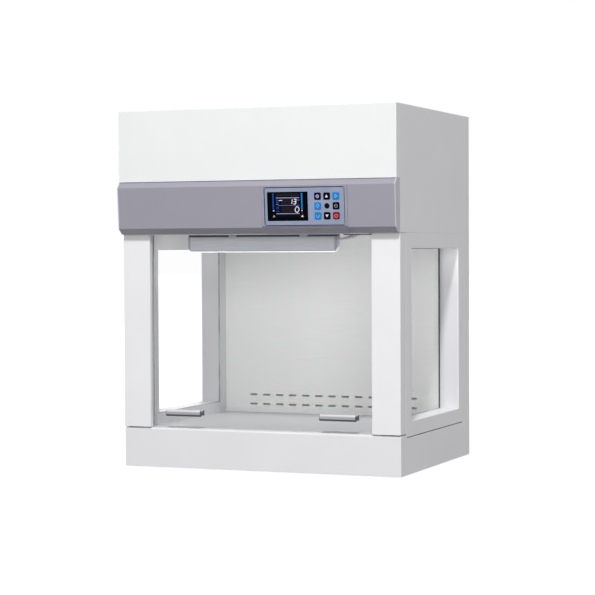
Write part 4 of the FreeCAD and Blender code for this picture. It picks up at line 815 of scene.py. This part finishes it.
def make_gap_shades_and_lip_highlight():
    """Painted shade and highlight: a dark strip in the gap between the lamp and the ceiling, broken at the
    two clips, a dark strip at the ceiling's front edge, and a lighter strip on the band's lip.
    """
    low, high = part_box("lamp_caps")
    clip_low, clip_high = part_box("lamp_clips")
    width = 0.018
    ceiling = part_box("ceiling_panel")[0].z
    y0, y1 = low.y + 0.003, high.y - 0.003
    z0, z1 = high.z + 0.0003, ceiling - 0.0003
    gap = 0.0006
    spans = [(low.x, clip_low.x - gap), (clip_low.x + width + gap, clip_high.x - width - gap),
             (clip_high.x + gap, high.x)]
    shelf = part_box("ceiling_panel")[0]
    # Painted shade: a dark strip at the ceiling's front edge.
    edge = [(high.x + 0.016, 0.281, shelf.y - 0.001, shelf.y - 0.0002, shelf.z - 0.0022, shelf.z)]
    make_piece("ceiling_edge_shade", blocks("ceiling_edge_shade", edge), "cabinet", "gap_shade_black")
    # Painted highlight: a strip lighter than the band's grey, on its lower lip.
    lip = [(-0.2805, 0.2805, -0.2572, -0.2562, 0.5548, 0.5574)]
    make_piece("band_lip_highlight", blocks("band_lip_highlight", lip), "cabinet", "lip_highlight_grey")
    # Painted shade in the gap above the lamp, broken at the clips.
    gap_strips = [(a, b, y0, y1, z0, z1) for a, b in spans]
    make_piece("lamp_gap_shade", blocks("lamp_gap_shade", gap_strips), "cabinet", "gap_shade_grey")


def bezier(a, b, c, count):
    return [a * (1 - t) ** 2 + b * 2 * t * (1 - t) + c * t ** 2
            for t in (i / count for i in range(count + 1))]


def make_lead():
    """The lamp's lead: a smooth gland at the cap, then a ribbed conduit up through the ceiling."""
    low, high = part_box("lamp_lead")
    y = (low.y + high.y) / 2
    z = low.z + 0.005
    points = [Vector((low.x, y, z)), Vector((low.x + 0.022, y, z)), Vector((low.x + 0.058, y, z + 0.015)),
              Vector((low.x + 0.070, y, z + 0.029))]
    middle = (points[1] + points[2]) / 2
    path = bezier(points[0], points[1], middle, 90) + bezier(middle, points[2], points[3], 90)[1:]
    bm = bmesh.new()
    rings = []
    run = 0.0
    for i, point in enumerate(path):
        ahead, behind = path[min(i + 1, len(path) - 1)], path[max(i - 1, 0)]
        along = (ahead - behind).normalized()
        run += (point - path[i - 1]).length if i else 0.0
        if run < 0.014:
            radius = 0.0034 if run > 0.004 else 0.0044
        else:
            radius = 0.0051 + 0.0007 * math.cos(2 * math.pi * (run - 0.014) / 0.0060)
        side = Vector((0.0, 1.0, 0.0))
        up = side.cross(along)
        rings.append([bm.verts.new(point + (side * math.cos(a) + up * math.sin(a)) * radius)
                      for a in (2 * math.pi * k / 20 for k in range(20))])
    for a, b in zip(rings, rings[1:]):
        for k in range(20):
            bm.faces.new((a[k], b[k], b[(k + 1) % 20], a[(k + 1) % 20]))
    bm.faces.new(rings[0])
    bm.faces.new(rings[-1][::-1])
    obj = make_piece("lead_conduit", finish_mesh("lead_conduit", bm), "cabinet", "lead_sheath")
    smooth(obj, 50.0)
    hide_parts("lamp_lead")


def make_window_trim():
    """A dark strip at the rear edge of the right side glass, and lighter strips on the window panels' top and
    front edges, a painted highlight.
    """
    low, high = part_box("side_glass_right")
    gap = [(high.x, high.x + 0.0006, high.y - 0.0100, high.y - 0.0005, low.z, high.z)]
    make_piece("glass_edge_right", blocks("glass_edge_right", gap), "cabinet", "glass_edge")
    for name, side in (("left", -1), ("right", 1)):
        low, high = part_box("window_frame_" + name)
        outer = max(abs(low.x), abs(high.x))
        x0, x1 = sorted((side * (outer - 0.0012), side * outer))
        x2, x3 = sorted((side * outer, side * (outer + 0.00003)))
        # Painted highlight along the panel's top and front edges.
        seams = [(x0, x1, low.y, high.y, high.z, high.z + 0.0009),
                 (x2, x3, low.y + 0.034, low.y + 0.041, low.z + 0.004, high.z)]
        make_piece("panel_seam_highlight_" + name, blocks("panel_seam_highlight_" + name, seams), "cabinet", "seam_highlight_white")


def make_slot_screen():
    """Fine wire screen behind the two rows of slots in the inner back panel."""
    mm = 0.001
    y0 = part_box("window_frame_right")[1].y + 0.1 * mm
    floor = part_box("worktop")[1].z
    boxes = []
    for row in (21.4 * mm, 45.6 * mm):
        z = floor + row
        for i in range(13):
            x = (i - 6) * 36.4 * mm
            boxes += [(x + (k - 6) * 1.8 * mm - 0.3 * mm, x + (k - 6) * 1.8 * mm + 0.3 * mm,
                       y0, y0 + 0.5 * mm, z - 3.2 * mm, z + 3.2 * mm) for k in range(13)]
            boxes += [(x - 11.4 * mm, x + 11.4 * mm, y0 + 0.5 * mm, y0 + 0.8 * mm, z + dz * mm - 0.3 * mm,
                       z + dz * mm + 0.3 * mm) for dz in (-2.9, -1.0, 1.0, 2.9)]
    make_piece("slot_screen", blocks("slot_screen", boxes), "cabinet", "screen_wire")


def extruded(name, outline, spans):
    """One mesh of bars along X with one outline of (y, z) points."""
    bm = bmesh.new()
    count = len(outline)
    for x0, x1 in spans:
        near = [bm.verts.new((x0, y, z)) for y, z in outline]
        far = [bm.verts.new((x1, y, z)) for y, z in outline]
        bm.faces.new(near)
        bm.faces.new(far[::-1])
        for i in range(count):
            bm.faces.new((near[i], far[i], far[(i + 1) % count], near[(i + 1) % count]))
    return finish_mesh(name, bm)


def make_handle_detail():
    """Painted shade on the two sash handles: a greyer front face under the bright top, a dark underside and
    dark ends.
    """
    mm = 0.001
    boxes = [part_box("sash_handle_" + name) for name in ("left", "right")]
    front, low = boxes[0][0].y, boxes[0][0].z

    def outline(points):
        return [(front + y * mm, low + z * mm) for y, z in points]

    spans = [(a.x, b.x) for a, b in boxes]
    # Painted shade: the front face greyer than the lit top.
    face = outline([(-0.1, 4.2), (-0.1, 9.6), (0.6, 11.2), (0.8, 11.2), (0.2, 9.6), (0.2, 4.2)])
    make_piece("handle_front_shade", extruded("handle_front_shade", face, spans), "sash", "handle_face_shade_grey")
    # Painted shade along the underside.
    underside_shade = outline([(-0.25, 4.2), (-0.25, 3.4), (2.9, -0.25), (7.0, -0.25),
                    (7.0, 0.0), (3.0, 0.0), (0.0, 3.5), (0.0, 4.2)])
    make_piece("handle_underside_shade", extruded("handle_underside_shade", underside_shade, spans), "sash", "handle_shade_dark")
    # Painted shade: dark ends in place of the shade inside the hollow section.
    end_shade = outline([(24.0, 1.0), (24.0, 13.5), (17.0, 14.0), (11.0, 9.6), (5.0, 15.0), (3.0, 14.0),
                    (0.0, 10.0), (0.0, 3.5), (3.0, 0.0), (7.0, 0.0), (11.0, 3.0), (17.0, 3.0)])
    ends = [(x + side * 0.9 * mm, x) if side < 0 else (x, x + 0.9 * mm)
            for a, b in boxes for side, x in ((-1, a.x), (1, b.x))]
    make_piece("handle_end_shade", extruded("handle_end_shade", end_shade, ends), "sash", "handle_shade_dark")


def make_screws():
    """Domed screw heads with a cross recess, on the back."""
    low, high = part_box("cover_screws")
    x = high.x - 0.004
    z_low, z_high = low.z + 0.004, high.z - 0.004
    y = high.y - 0.002
    bm = bmesh.new()
    slots = bmesh.new()
    for side in (-1, 1):
        for i in range(5):
            z = z_low + i * (z_high - z_low) / 4
            centre = (side * x, y, z)
            lathe(bm, centre, (0, 1, 0), [(0.0039, 0.0), (0.0039, 0.0007), (0.0034, 0.0013),
                                          (0.0023, 0.00175), (0.0008, 0.0019)], 28)
            for w, h in ((0.0034, 0.0007), (0.0007, 0.0034)):
                bmesh.ops.create_cube(slots, size=1.0, matrix=Matrix.Translation((side * x, y + 0.00165, z))
                                      @ Matrix.Diagonal((w, 0.0006, h, 1.0)))
    obj = make_piece("screw_heads", finish_mesh("screw_heads", bm), "cabinet", "screw_steel")
    smooth(obj)
    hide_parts("cover_screws")
    make_piece("screw_recesses", finish_mesh("screw_recesses", slots), "cabinet", "inlet_plastic")


def make_pads():
    bm = bmesh.new()
    low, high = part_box("foot_pads")
    radius = 0.017
    for x in (low.x + radius, high.x - radius):
        for y in (low.y + radius, high.y - radius):
            lathe(bm, (x, y, 0.0), (0, 0, 1), [(0.0155, 0.0), (0.0168, 0.0006),
                                               (0.0169, 0.0024), (0.0160, 0.003)], 40)
    obj = make_piece("rest_pads", finish_mesh("rest_pads", bm), "cabinet", "pad_rubber")
    smooth(obj)
    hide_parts("foot_pads")


make_camera()
make_world()
make_floor()
soft_box("key_light", (0.20, -0.67, 0.71), 0.61, 0.5, 6.0)
soft_box("front_fill", (0.38, -0.93, 0.08), 0.31, 4.0, 9.0)
soft_box("back_fill", (-0.18, 0.97, 0.18), 0.36, 4.0, 9.0)
soft_box("left_fill", (-0.98, 0.02, 0.12), 0.24, 4.0, 9.0)
make_chamber_fill()
dress_nodes()
make_keys()
make_display()
make_receiver()
make_screws()
make_pads()
make_panel_borders()
make_gap_shades_and_lip_highlight()
make_lead()
make_window_trim()
make_slot_screen()
make_handle_detail()

bpy.context.scene.view_settings.view_transform = "Standard"
